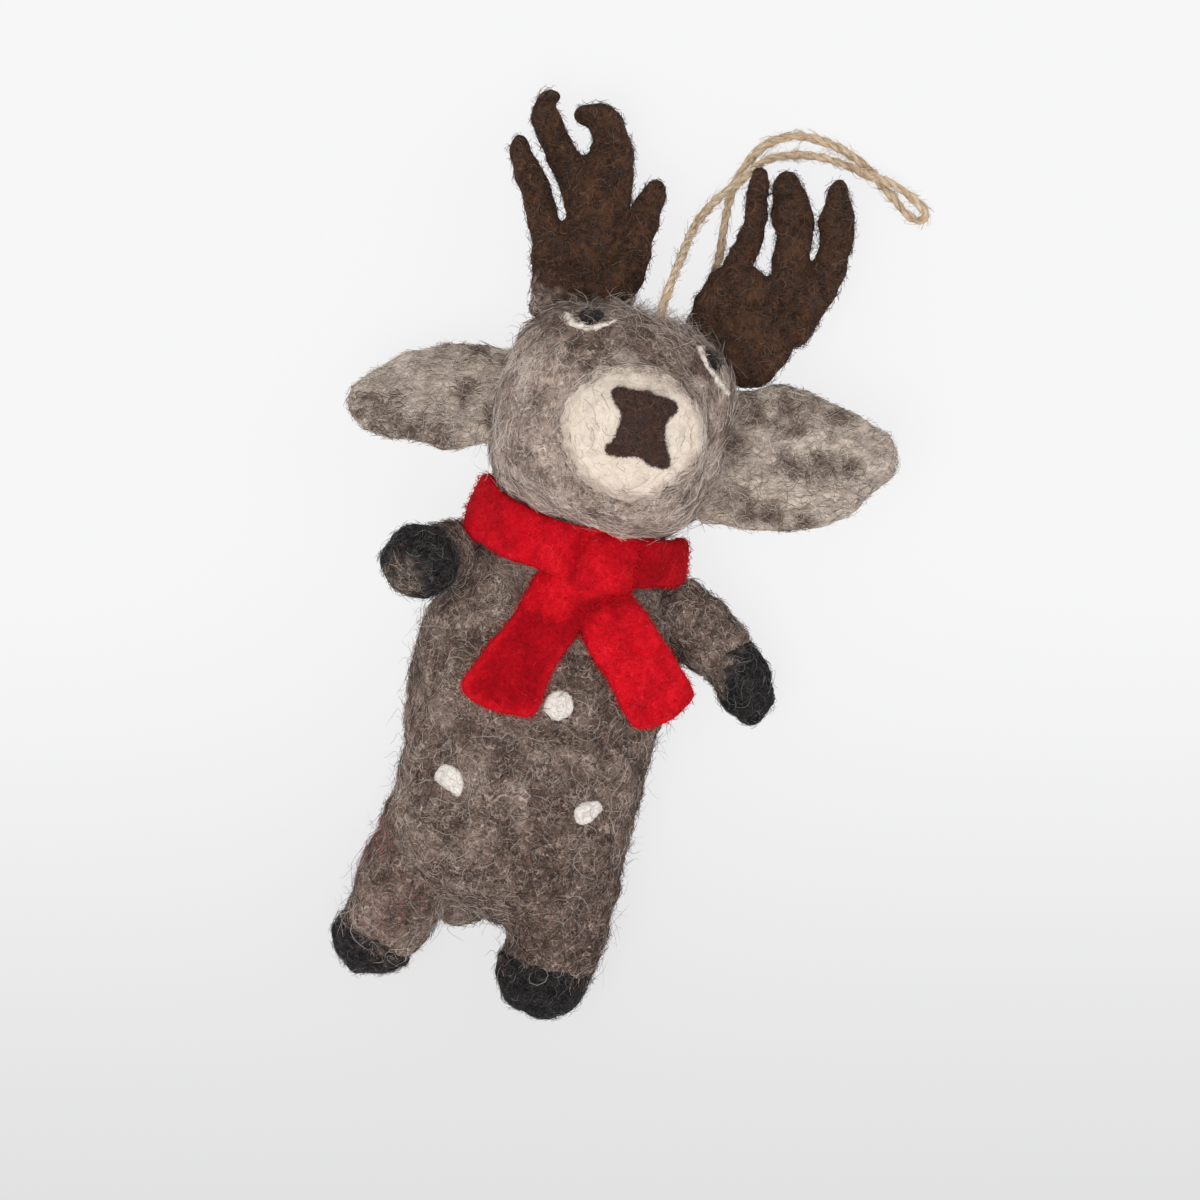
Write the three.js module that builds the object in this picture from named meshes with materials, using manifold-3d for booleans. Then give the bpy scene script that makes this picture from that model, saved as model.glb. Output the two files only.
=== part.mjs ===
// A needle-felted wool reindeer ornament, lying on its back. Lengths are in millimetres.
// +Y runs from the hooves to the antlers, +X is the viewer's right and +Z points up, out of the belly.
// The origin is on the flat of the back, under the middle of the belly. Left and right are the viewer's.
import * as THREE from "three";
import { mergeVertices } from "three/addons/utils/BufferGeometryUtils.js";
import Module from "manifold-3d";

const wasm = await Module();
wasm.setup();

// Driving sizes

const seam = 0.3; // between two pieces that are felted together
const overrun = 6; // how far a cut runs on past what it cuts
const pressedFlat = 0.5; // how deep a form is pressed flat by lying on a table

const torsoAbove = 24; // from the origin up to the top of the torso
const torsoBelow = 35.4; // from the origin down to the bottom of the torso
const torsoWidth = 41;
const torsoDepth = 25.4;

const neckWidth = 30;
const neckDepth = 20.4;
const plugRadius = 7; // the short core of the neck, which turns on the torso
const plugHeight = 3.6; // at its middle

const headWidth = 37.6;
const headHeight = 35;
const headDepth = 37; // without the muzzle
const headAside = -1.5; // the head sits a little to the left
const turnDrop = 2.5; // the head turns about a line this far behind its middle
const headNodRange = [-12, 14]; // degrees
const headTurnRange = [-25, 25]; // degrees

const muzzleWidth = 23;
const muzzleHeight = 22;
const muzzleDepth = 13;
const muzzleProud = 5.5; // how far it stands out of the front of the head
const faceAside = 2.2; // the face is turned a little to the right of the head's middle
const muzzleDrop = 1.2;

const noseWidth = 10;
const noseHeight = 10.4;
const noseWaist = 6;
const noseThickness = 1.2;
const noseTilt = 8; // degrees
const noseAside = 1.7; // from the middle of the muzzle
const noseRise = 1.6;

const eyeRadius = 2.3;
const eyeThickness = 1.1;
const eyelidRadius = 0.55;

const leftEarLength = 29; // with its root in the side of the head
const rightEarLength = 31.5;
const leftEarWidth = 20.5;
const rightEarWidth = 23;
const earThickness = 5;
const earRootDepth = 5; // how far in from the side of the head the root begins
const earFold = 20; // degrees, each way

const antlerLength = 33;
const antlerThickness = 6.6;
const antlerInset = 5.8; // from the side of the head in to the middle of an antler's root
const antlerAside = 0.9; // the pair sits a little to the right of the head's middle
const antlerRootDepth = 0.5; // how far under the crown an antler's root begins
const antlerHeight = 15.5; // of the antlers' middle above the table, at their roots
const antlerSlope = 11; // degrees, by which the antlers lean back to the table

const armLength = 22; // from the shoulder's middle to the tip of the hoof
const armWidth = 9;
const frontHoofWidth = 11.2;
const frontHoofLength = 10.4;
const shoulderInset = 3; // from the side of the torso in to the middle of an arm's root
const shoulderDrop = 5.2; // from the top of the torso down to the shoulders
const shoulderHeight = 12.8; // above the table

const legWidth = 15.4;
const legDepth = 15.6;
const legLength = 25; // from the hip's middle to the sole
const legHeight = 8.6; // of the legs' middle above the table
const legDrop = 14.2; // from the bottom of the torso down to the soles
const rearHoofLength = 8.6;

const tailLength = 13;
const tailWidth = 9;
const tailThickness = 6;
const tailDrop = 2; // from the bottom of the torso down to the tip of the tail

const spotRadius = 2.5;
const spotThickness = 0.9;

const scarfThickness = 2;
const collarWidth = 5.6; // the height of the scarf's band at the sides of the neck
const collarSag = 4.6; // how far the band reaches down in front, past the top of the torso
const knotThickness = 2; // how far the knot stands out of the band
const knotWidth = 16.2;
const knotAside = 2.9; // it sits to the right of the neck's middle
const knotHeight = 11.4;
const knotDrop = 1.5; // from the band's upper edge down to the knot's
const knotLap = 4.4; // how far the knot's right corner reaches down over the right tail's root
const scarfTailWidth = 11.2;
const leftTailLength = 20.4;
const rightTailLength = 17;

const twineDiameter = 1.5;
const twineRoom = 0.35; // round the twine in its tunnel
const stitchDepth = 7; // how deep the twine goes into the crown

const threadRadius = 0.5; // the thread that holds the arms
const threadRoom = 0.35;
const threadHold = 3.4; // how far in from an arm's outside the thread ends

// Places that follow from those sizes

const v = (x, y, z) => new THREE.Vector3(x, y, z);
const alongX = v(1, 0, 0);
const alongY = v(0, 1, 0);
const alongZ = v(0, 0, 1);
const degrees = Math.PI / 180;
const neckAsideShare = -0.04; // of the torso's width: the neck leans a little to the left
const neckAside = neckAsideShare * torsoWidth;
const neckMiddle = v(neckAside, torsoAbove, scarfThickness + seam + neckDepth / 2);
const headMiddle = v(headAside, torsoAbove + seam + plugHeight + headHeight / 2, headDepth / 2 - pressedFlat);
const crown = headMiddle.y + headHeight / 2;
const turnAxis = v(headAside, torsoAbove, headMiddle.z - turnDrop);
const muzzleReach = headDepth - pressedFlat + muzzleProud; // its tip, above the table
const shoulderSpacing = torsoWidth - shoulderInset * 2;
const shoulderLine = v(neckAside, torsoAbove - shoulderDrop, shoulderHeight);
const antlerSpacing = headWidth - antlerInset * 2;
const legSpacing = torsoWidth - legWidth; // the legs are flush with the sides of the torso
const sides = { left: -1, right: 1 };

// Wool colours

function wool(name, color, roughness = 0.95) {
  return new THREE.MeshStandardMaterial({ name, color, roughness, metalness: 0 });
}
const bodyWool = wool("body_wool", 0x6b5b54);
const headWool = wool("head_wool", 0x96867c);
const earWool = wool("ear_wool", 0x998a80);
const creamWool = wool("cream_wool", 0xdfd0c0);
const whiteWool = wool("white_wool", 0xe4dad3);
const brownWool = wool("brown_wool", 0x46342a);
const blackWool = wool("black_wool", 0x262526);
const redWool = wool("red_wool", 0xbe101c);
const jute = wool("jute", 0xc7a57a, 0.85);
const thread = wool("thread", 0x5a4c46, 0.8);

// Solids

function solidFrom(positions, triangles) {
  return new wasm.Manifold(
    new wasm.Mesh({
      numProp: 3,
      vertProperties: new Float32Array(positions),
      triVerts: new Uint32Array(triangles),
    }),
  );
}

const sameShare = 1 / 1000; // of a seam: vertices closer than this are one

function solidOf(geometry) {
  const bare = geometry.clone();
  bare.deleteAttribute("normal");
  bare.deleteAttribute("uv");
  const merged = mergeVertices(bare, seam * sameShare);
  return solidFrom(merged.attributes.position.array, merged.index.array);
}

function geometryOf(solid) {
  const { vertProperties, triVerts } = solid.getMesh();
  const geometry = new THREE.BufferGeometry();
  geometry.setAttribute("position", new THREE.BufferAttribute(new Float32Array(vertProperties), 3));
  geometry.setIndex(new THREE.BufferAttribute(new Uint32Array(triVerts), 1));
  geometry.computeVertexNormals();
  return geometry;
}

// The half of space that lies beyond a point, as a block that is larger than the whole ornament.
const farAway = (torsoAbove + torsoBelow + headHeight + antlerLength + rightEarLength) * 2;

function beyond(point, direction) {
  const turn = new THREE.Quaternion().setFromUnitVectors(alongZ, direction.clone().normalize());
  const block = new THREE.BoxGeometry(farAway, farAway, farAway).translate(0, 0, farAway / 2);
  return solidOf(block.applyQuaternion(turn).translate(point.x, point.y, point.z));
}
const aboveTable = beyond(v(0, 0, 0), alongZ);

// An upright prism that stands on the height low and reaches out of the front of the ornament.
function prism(outline, low) {
  const shape = new THREE.Shape(outline.map(({ x, y }) => new THREE.Vector2(x, y)));
  const geometry = new THREE.ExtrudeGeometry(shape, { depth: farAway, bevelEnabled: false });
  return solidOf(geometry.translate(0, 0, low));
}

function ball(middle, halfSizes, columns = 18, rows = 12) {
  const geometry = new THREE.SphereGeometry(1, columns, rows).rotateX(Math.PI / 2);
  geometry.scale(halfSizes.x, halfSizes.y, halfSizes.z);
  return solidOf(geometry.translate(middle.x, middle.y, middle.z));
}

// A round bar between two points.
function bar(from, to, radius, sidesOfBar = 12) {
  const along = to.clone().sub(from);
  const geometry = new THREE.CylinderGeometry(radius, radius, along.length(), sidesOfBar);
  geometry.applyQuaternion(new THREE.Quaternion().setFromUnitVectors(alongY, along.clone().normalize()));
  const middle = from.clone().add(to).divideScalar(2);
  return solidOf(geometry.translate(middle.x, middle.y, middle.z));
}

function turned(solid, pivot, axis, angle) {
  const geometry = geometryOf(solid);
  geometry.translate(-pivot.x, -pivot.y, -pivot.z);
  geometry.applyMatrix4(new THREE.Matrix4().makeRotationAxis(axis, angle * degrees));
  return solidOf(geometry.translate(pivot.x, pivot.y, pivot.z));
}

// Cuts the room that a turning piece needs, over its whole range, out of a piece that stays.
function clearedFor(stays, turns, pivot, axis, [low, high], steps) {
  let left = stays;
  for (let i = 0; i <= steps; i += 1) {
    left = left.subtract(turned(turns, pivot, axis, low + ((high - low) * i) / steps));
  }
  return left;
}

// Felted forms: rounded sections strung on a smooth line through a few stations

function section(wide, deep, square, count) {
  const points = [];
  for (let i = 0; i < count; i += 1) {
    const [c, s] = [Math.cos((2 * Math.PI * i) / count), Math.sin((2 * Math.PI * i) / count)];
    const across = Math.sign(c) * Math.abs(c) ** (2 / square) * wide;
    const out = Math.sign(s) * Math.abs(s) ** (2 / square) * deep;
    points.push([across, out]);
  }
  return points;
}

// Where the rings of a form lie along it: close together in its two domes, even between them.
function ringPlaces(from, to, startCap, endCap, rings, domeRings) {
  const rise = (i) => 1 - Math.cos((Math.PI / 2) * (i / domeRings));
  const places = [];
  for (let i = 0; i < domeRings; i += 1) places.push(from + startCap * rise(i));
  for (let i = 0; i <= rings; i += 1) {
    places.push(from + startCap + ((to - endCap - from - startCap) * i) / rings);
  }
  for (let i = domeRings - 1; i >= 0; i -= 1) places.push(to - endCap * rise(i));
  return places;
}

// How wide a dome is at a depth below its top, as a share of its full width.
function domeShare(depth, cap) {
  return depth >= cap ? 1 : Math.sqrt(Math.max(0, 1 - (1 - depth / cap) ** 2));
}

// A station is { at, wide, deep }: a middle and two half sizes. The sections face the out direction.
// grow makes the same form larger all round, for the room that it takes in a neighbour.
function form(stations, out, options) {
  const { count = 16, rings = 8, domeRings = 3, startCap, endCap, square = 2, grow = 0 } = options;
  const smooth = (points) => new THREE.CatmullRomCurve3(points, false, "catmullrom", 0.5);
  const line = smooth(stations.map((station) => station.at));
  const sizes = smooth(stations.map((station) => v(station.wide, station.deep, 0)));
  const length = line.getLength();
  const places = ringPlaces(-grow, length + grow, startCap + grow, endCap + grow, rings, domeRings);
  const positions = [];
  places.forEach((place, i) => {
    const inside = Math.min(length, Math.max(0, place));
    const t = line.getUtoTmapping(inside / length);
    const along = line.getTangent(t);
    const middle = line.getPoint(t).addScaledVector(along, place - inside);
    const facing = out.clone().addScaledVector(along, -out.dot(along)).normalize();
    const across = v(0, 0, 0).crossVectors(facing, along);
    const size = sizes.getPoint(t);
    const share = domeShare(place + grow, startCap + grow) * domeShare(length + grow - place, endCap + grow);
    const pole = i === 0 || i === places.length - 1;
    const [wide, deep] = [(size.x + grow) * share, (size.y + grow) * share];
    for (const [a, o] of pole ? [[0, 0]] : section(wide, deep, square, count)) {
      const point = middle.clone().addScaledVector(across, a).addScaledVector(facing, o);
      positions.push(point.x, point.y, point.z);
    }
  });
  return solidFrom(positions, ringTriangles(places.length, count));
}

// Triangles between rings that all have count points, with one point at either pole.
function ringTriangles(ringCount, count) {
  const start = (ring) => 1 + (ring - 1) * count;
  const lastRing = ringCount - 2;
  const endPole = start(lastRing) + count;
  const triangles = [];
  for (let j = 0; j < count; j += 1) {
    const next = (j + 1) % count;
    triangles.push(0, start(1) + next, start(1) + j);
    for (let ring = 1; ring < lastRing; ring += 1) {
      const [a, b] = [start(ring), start(ring + 1)];
      triangles.push(a + j, b + next, b + j, a + j, a + next, b + next);
    }
    triangles.push(endPole, start(lastRing) + j, start(lastRing) + next);
  }
  return triangles;
}

// The torso, from the crotch to the neck

// For each station: its height, width and depth, and how far its middle is aside and up, as shares.
const torsoShares = [
  [-1, 0.7, 0.5, 0.02, -0.1],
  [-0.82, 0.93, 0.84, 0.016, -0.03],
  [-0.5, 0.945, 0.95, 0.01, 0],
  [-0.12, 0.965, 1, -0.005, 0],
  [0.15, 0.995, 1, -0.02, 0],
  [0.45, 0.975, 0.96, -0.025, -0.005],
  [0.7, 0.86, 0.88, -0.036, -0.01],
];

function torsoForm(grow = 0) {
  const stations = torsoShares.map(([up, wide, deep, aside, rise]) => ({
    at: v(aside * torsoWidth, up * (up < 0 ? torsoBelow : torsoAbove),
      torsoDepth / 2 - pressedFlat + rise * torsoDepth),
    wide: (wide * torsoWidth) / 2,
    deep: (deep * torsoDepth) / 2,
  }));
  const top = { at: neckMiddle.clone(), wide: neckWidth / 2, deep: neckDepth / 2 };
  stations.push(top);
  const caps = { startCap: torsoBelow / 4, endCap: torsoAbove / 5 };
  return form(stations, alongZ, { count: 26, rings: 11, square: 2.3, grow, ...caps });
}

// The neck goes on past the torso's top, for the scarf that is wound round it.
function neckForm(grow = 0) {
  const half = { wide: neckWidth / 2, deep: neckDepth / 2 };
  const step = v(0, collarWidth, 0);
  const stations = [neckMiddle.clone().sub(step), neckMiddle.clone(), neckMiddle.clone().add(step)];
  const caps = { startCap: seam, endCap: seam };
  return form(stations.map((at) => ({ at, ...half })), alongZ,
    { count: 26, rings: 2, domeRings: 1, square: 2.2, grow, ...caps });
}

const torsoTop = beyond(v(0, torsoAbove, 0), alongY);
const trunk = (grow = 0) => torsoForm(grow).add(neckForm(grow));

// The head: a ball with squarish cheeks, flat at the back, and the pale muzzle in front

// For each station: its height above the table as a share of the depth, and its size as a share.
const headShares = [[0, 0.5], [0.1, 0.8], [0.27, 0.96], [0.48, 1], [0.68, 0.96], [0.85, 0.82], [1, 0.56]];

function headForm(grow = 0) {
  const stations = headShares.map(([up, size]) => ({
    at: v(headMiddle.x, headMiddle.y, up * headDepth - pressedFlat),
    wide: (size * headWidth) / 2,
    deep: (size * headHeight) / 2,
  }));
  const caps = { startCap: headDepth / 7, endCap: headDepth / 7 };
  return form(stations, alongY, { count: 26, rings: 8, square: 2.4, grow, ...caps });
}

const muzzleMiddle = v(headMiddle.x + faceAside, headMiddle.y - muzzleDrop, muzzleReach - muzzleDepth);
const muzzleShares = [[0, 0.84], [0.35, 0.97], [0.7, 1], [1, 0.9]];

function muzzleForm(grow = 0) {
  const stations = muzzleShares.map(([up, size]) => ({
    at: muzzleMiddle.clone().add(v(0, 0, up * muzzleDepth)),
    wide: (size * muzzleWidth) / 2,
    deep: (size * muzzleHeight) / 2,
  }));
  const caps = { startCap: muzzleDepth / 4, endCap: muzzleDepth / 1.8 };
  return form(stations, alongY, { count: 22, rings: 3, domeRings: 5, grow, ...caps });
}

// The nose and mouth are one piece of dark felt, drawn in at the middle.
const noseFootShare = 0.88; // the width of its foot, of the width of its top
const noseWaistShare = 0.1; // how far its waist is above its middle, of its height
const noseSagShare = 0.04; // how far its top and foot curve in, of its height

function noseOutline() {
  const edge = noseHeight / 2;
  const sag = noseSagShare * noseHeight;
  const right = [
    v((noseFootShare * noseWidth) / 2, -edge, 0),
    v(noseWaist / 2, noseWaistShare * noseHeight, 0),
    v(noseWidth / 2, edge, 0),
  ];
  const left = right.map(({ x, y }) => v(-x, y, 0)).reverse();
  return [v(0, sag - edge, 0), ...right, v(0, edge - sag, 0), ...left];
}

function makeNose() {
  const middle = v(muzzleMiddle.x + noseAside, muzzleMiddle.y + noseRise, 0);
  const outline = noseOutline().map((point) => point.applyAxisAngle(alongZ, noseTilt * degrees).add(middle));
  const skin = muzzleForm(seam + noseThickness).subtract(muzzleForm(seam));
  return skin.intersect(prism(outline, muzzleReach - muzzleDepth / 2));
}

// Where an upright line meets the front of a solid.
function onFront(solid, x, y) {
  const mesh = new THREE.Mesh(geometryOf(solid));
  const [hit] = new THREE.Raycaster(v(x, y, farAway), v(0, 0, -1)).intersectObject(mesh);
  return hit.point;
}

const head = headForm().intersect(aboveTable);
const headRoom = headForm(seam);

// Where the eyes are, from the head's middle, as shares of its width and height.
const eyeShares = { left: [-0.24, 0.365], right: [0.315, 0.325] };

function eyePlace(name) {
  const [aside, up] = eyeShares[name];
  return onFront(head, headMiddle.x + aside * headWidth, headMiddle.y + up * headHeight);
}

function makeEye(name) {
  const halfSizes = v(eyeRadius, eyeRadius, eyeThickness + seam);
  return ball(eyePlace(name), halfSizes, 14, 10).subtract(headRoom);
}

// The white of an eye shows as a thin crescent under it.
const lidTurns = [-75, -25, 25, 65]; // degrees round the eye, from its outer corner inwards

function makeEyelid(name) {
  const eye = eyePlace(name);
  const reach = eyeRadius + seam + eyelidRadius;
  const stations = lidTurns.map((turn) => {
    const angle = (-90 - sides[name] * turn) * degrees;
    const at = onFront(head, eye.x + reach * Math.cos(angle), eye.y + reach * Math.sin(angle));
    return { at: at.add(v(0, 0, seam)), wide: eyelidRadius, deep: eyelidRadius };
  });
  const caps = { startCap: eyelidRadius * 2, endCap: eyelidRadius * 2 };
  return form(stations, alongZ, { count: 8, rings: 6, domeRings: 2, ...caps }).subtract(headRoom);
}

// The ears: leaves of felt on the sides of the head, each turned about its own length

const earShares = [[0, 0.52], [0.2, 0.84], [0.45, 1], [0.7, 0.84], [0.9, 0.46], [1, 0.24]];
const earRiseShares = { left: -0.085, right: -0.035 }; // of the root above the head's middle, of its width
const earPlans = {
  left: { length: leftEarLength, width: leftEarWidth, lean: -14, roll: 38 }, // degrees
  right: { length: rightEarLength, width: rightEarWidth, lean: 10, roll: 8 },
};

function earPlan(name) {
  const side = sides[name];
  const { length, width, lean, roll } = earPlans[name];
  const rootUp = headMiddle.y + earRiseShares[name] * width;
  const root = v(headMiddle.x + side * (headWidth / 2 - earRootDepth), rootUp, headMiddle.z);
  const along = v(side * Math.cos(lean * degrees), Math.sin(lean * degrees), 0);
  const out = v(0, Math.sin(roll * degrees), Math.cos(roll * degrees));
  const pivot = root.clone().add(v(side * (earRootDepth - earThickness / 2), 0, 0));
  const fold = v(0, 0, 0).crossVectors(out, along).multiplyScalar(side).normalize();
  return { length, width, root, along, out, pivot, fold };
}

function makeEar(name) {
  const { length, width, root, along, out, pivot, fold } = earPlan(name);
  const stations = earShares.map(([place, size]) => ({
    at: root.clone().addScaledVector(along, place * length),
    wide: (size * width) / 2,
    deep: (earThickness / 2) * Math.sqrt(size),
  }));
  const caps = { startCap: earThickness / 2, endCap: length / 10 };
  const ear = form(stations, out, { count: 16, rings: 8, ...caps });
  return clearedFor(ear, headRoom, pivot, fold, [-earFold, earFold], 3);
}

// The antlers: a flat palm with tines, each a tapered form, in a plane that leans back to the table

// For each tine, its stations: aside and up from the root, and half the width, as shares of the length.
const antlerShares = {
  left: [
    [[0, -0.12, 0.19], [0.005, 0.12, 0.21], [-0.015, 0.33, 0.185], [-0.035, 0.54, 0.145],
      [-0.03, 0.75, 0.125], [-0.08, 0.9, 0.1], [-0.22, 0.96, 0.055]],
    [[-0.13, 0.17, 0.08], [-0.27, 0.39, 0.073], [-0.39, 0.58, 0.062], [-0.48, 0.7, 0.04]],
    [[-0.06, 0.5, 0.1], [-0.18, 0.66, 0.085], [-0.32, 0.82, 0.073], [-0.42, 0.93, 0.05]],
    [[0.11, 0.1, 0.11], [0.175, 0.36, 0.115], [0.2, 0.55, 0.093], [0.2, 0.69, 0.066]],
  ],
  right: [
    [[0.02, -0.12, 0.2], [0.03, 0.12, 0.22], [0.09, 0.36, 0.2], [0.11, 0.58, 0.13], [0.085, 0.76, 0.105],
      [0.04, 0.9, 0.066]],
    [[-0.06, 0.12, 0.12], [-0.1, 0.4, 0.105], [-0.09, 0.66, 0.072], [-0.05, 0.88, 0.042]],
    [[0.16, 0.12, 0.16], [0.26, 0.4, 0.135], [0.335, 0.68, 0.1], [0.315, 0.92, 0.06]],
  ],
};

function makeAntler(name) {
  const aside = antlerAside + (sides[name] * antlerSpacing) / 2;
  const root = v(headMiddle.x + aside, crown - antlerRootDepth, antlerHeight);
  const lean = -antlerSlope * degrees;
  const out = alongZ.clone().applyAxisAngle(alongX, lean);
  let antler;
  for (const tine of antlerShares[name]) {
    const stations = tine.map(([across, up, wide]) => ({
      at: v(across, up, 0).multiplyScalar(antlerLength).applyAxisAngle(alongX, lean).add(root),
      wide: wide * antlerLength,
      deep: Math.min((wide * antlerLength) / 1.2, antlerThickness / 2),
    }));
    const tip = stations.at(-1).wide;
    const caps = { startCap: antlerThickness / 4, endCap: tip * 1.5 };
    const solid = form(stations, out, { count: 12, rings: 7, square: 2.3, ...caps });
    antler = antler ? antler.add(solid) : solid;
  }
  return antler.subtract(headRoom);
}

// The arms: each turns on the thread through the shoulders

const armRanges = { left: [-35, 35], right: [-100, 5] }; // degrees
const armPoses = {
  left: v(-0.33, -0.19, 0.925),
  right: v(0.88, -0.47, -0.1),
};
const armShares = [[0, 0.96], [0.25, 1], [0.5, 0.94]];
const hoofSwellShares = [0.25, 1]; // where the arm has the hoof's width, along the hoof

// An arm that points up out of the belly faces the antlers, and the other one faces the viewer.
function armPlan(name) {
  const along = armPoses[name].clone().normalize();
  const root = shoulderLine.clone().add(v((sides[name] * shoulderSpacing) / 2, 0, 0));
  const out = along.z > Math.SQRT1_2 ? alongY : alongZ;
  return { root, along, out, end: armLength - frontHoofLength };
}

function armForm(name, grow = 0) {
  const { root, along, out, end } = armPlan(name);
  const start = root.clone().addScaledVector(along, -armWidth / 2);
  const stations = armShares.map(([place, size]) => ({
    at: start.clone().addScaledVector(along, place * (armLength + armWidth / 2)),
    wide: (size * armWidth) / 2,
    deep: (size * armWidth) / 2,
  }));
  for (const share of hoofSwellShares) {
    const at = root.clone().addScaledVector(along, end + share * frontHoofLength);
    stations.push({ at, wide: frontHoofWidth / 2, deep: frontHoofWidth / 2 });
  }
  const caps = { startCap: armWidth / 2.2, endCap: frontHoofWidth / 2 };
  return form(stations, out, { count: 16, rings: 7, domeRings: 4, grow, ...caps });
}

const threadEnd = (side) =>
  shoulderLine.clone().add(v(side * (shoulderSpacing / 2 + armWidth / 2 - threadHold), 0, 0));
const threadBore = bar(threadEnd(-1).sub(v(threadRoom, 0, 0)), threadEnd(1).add(v(threadRoom, 0, 0)),
  threadRadius + threadRoom);

function makeArm(name) {
  const { root, along, end } = armPlan(name);
  const cut = root.clone().addScaledVector(along, end);
  return armForm(name).subtract(beyond(cut, along)).subtract(threadBore);
}

function makeFrontHoof(name) {
  const { root, along, end } = armPlan(name);
  return armForm(name).intersect(beyond(root.clone().addScaledVector(along, end + seam), along));
}

// The room that an arm's root sweeps when it turns: for each distance from the thread, how far in
// towards the torso the arm reaches there, turned on a lathe.
function armRoom(name) {
  const side = sides[name];
  const { root } = armPlan(name);
  const points = geometryOf(armForm(name)).getAttribute("position");
  const steps = 6;
  const reach = armWidth;
  const inward = new Array(steps + 1).fill(reach);
  for (let i = 0; i < points.count; i += 1) {
    const point = v(points.getX(i), points.getY(i), points.getZ(i)).sub(root);
    const place = (Math.hypot(point.y, point.z) / reach) * steps;
    if (place > steps) continue;
    for (const j of [Math.floor(place), Math.ceil(place)]) inward[j] = Math.min(inward[j], point.x * side);
  }
  const profile = inward.map((x, j) => new THREE.Vector2((j * reach) / steps, x - seam));
  profile.push(new THREE.Vector2(reach, reach * 2), new THREE.Vector2(0, reach * 2));
  const lathe = new THREE.LatheGeometry(profile, 24).rotateZ((-side * Math.PI) / 2);
  return solidOf(lathe.translate(root.x, root.y, root.z));
}

// The core of the neck turns on the torso's flat top, and the head nods in the hollow of its other end.
function makeNeck() {
  const foot = turnAxis.clone().add(v(0, seam, 0));
  const core = bar(foot, v(turnAxis.x, headMiddle.y, turnAxis.z), plugRadius, 20);
  return clearedFor(core, headRoom, headMiddle, alongX, headNodRange, 3);
}

// The left arm presses into the side of the belly in the last part of its travel.
const dentShare = 0.6;

function makeTorso() {
  const whole = trunk().subtract(torsoTop).intersect(aboveTable);
  const roomy = whole.subtract(armRoom("left")).subtract(armRoom("right")).subtract(threadBore);
  const [, end] = armRanges.left;
  const pressing = armForm("left", seam);
  return clearedFor(roomy, pressing, armPlan("left").root, alongX, [end * dentShare, end], 2);
}

// The legs and the tail stub

const hipShare = 0.9; // how far apart the hips are, of the spacing of the soles
const legShares = [[0, 0.8], [0.35, 1], [0.62, 1], [0.82, 0.9], [1, 0.74]];
const hoofSlants = { left: 12, right: -4 }; // degrees, of the line where the black wool begins

function legPlan(name) {
  const aside = (sides[name] * legSpacing) / 2;
  const sole = v(aside, -(torsoBelow + legDrop), legHeight);
  const hip = v(aside * hipShare, sole.y + legLength, torsoDepth / 2 - pressedFlat);
  const along = sole.clone().sub(hip).normalize();
  return { hip, sole, along };
}

function legForm(name) {
  const { hip, sole } = legPlan(name);
  const stations = legShares.map(([place, size]) => ({
    at: hip.clone().lerp(sole, place),
    wide: (size * legWidth) / 2,
    deep: (size * legDepth) / 2,
  }));
  const caps = { startCap: legLength / 6, endCap: legLength / 5 };
  return form(stations, alongZ, { count: 18, rings: 8, square: 2.2, ...caps });
}

function hoofSeam(name, gap) {
  const { sole, along } = legPlan(name);
  const facing = along.clone().applyAxisAngle(alongZ, hoofSlants[name] * degrees);
  return beyond(sole.clone().addScaledVector(along, gap - rearHoofLength), facing);
}

function tailForm() {
  const tip = v(neckAside, -(torsoBelow + tailDrop), tailThickness / 2 + seam);
  const root = tip.clone().add(v(0, tailLength, 0));
  const half = { wide: tailWidth / 2, deep: tailThickness / 2 };
  const stations = [root, root.clone().lerp(tip, 0.5), tip].map((at) => ({ at, ...half }));
  return form(stations, alongZ, { count: 12, rings: 3, startCap: seam, endCap: tailWidth / 2 });
}

// The spots of pale wool on the belly

const spotShares = { spot_upper: [0.065, 0.005], spot_left: [-0.24, -0.42], spot_right: [0.29, -0.39] };

function makeSpot([across, up]) {
  const middle = onFront(torso, across * torsoWidth, up * torsoBelow);
  return ball(middle, v(spotRadius, spotRadius, spotThickness + seam), 14, 10).subtract(torsoForm(seam));
}

// The scarf: a band round the neck, a knot in front and two tails that lie on the belly

const bandBottom = torsoAbove + seam;
const bandTop = bandBottom + collarWidth;
const bandSlope = v(0, neckDepth / 2 + scarfThickness, collarSag);

function bandForm(grow = 0) {
  const band = neckForm(seam + scarfThickness + grow);
  const side = v(0, bandBottom - grow, neckMiddle.z);
  const low = beyond(side, alongY).add(beyond(side, bandSlope));
  return band.intersect(low).subtract(beyond(v(0, bandTop + grow, 0), alongY));
}

// The head nods on the neck, and the neck turns on the torso.
function clearedForHead(stays) {
  let left = stays;
  for (const share of [0, 0.5, 1]) {
    const nod = headNodRange[0] + (headNodRange[1] - headNodRange[0]) * share;
    const nodding = turned(headRoom, headMiddle, alongX, nod);
    left = clearedFor(left, nodding, turnAxis, alongY, headTurnRange, 2);
  }
  return left;
}

// The band leaves room for the head and the arms.
function makeCollar() {
  let band = clearedForHead(bandForm().subtract(trunk(seam)));
  for (const name of ["left", "right"]) {
    band = clearedFor(band, armForm(name, seam), shoulderLine, alongX, armRanges[name], 6);
  }
  return band;
}

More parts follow.
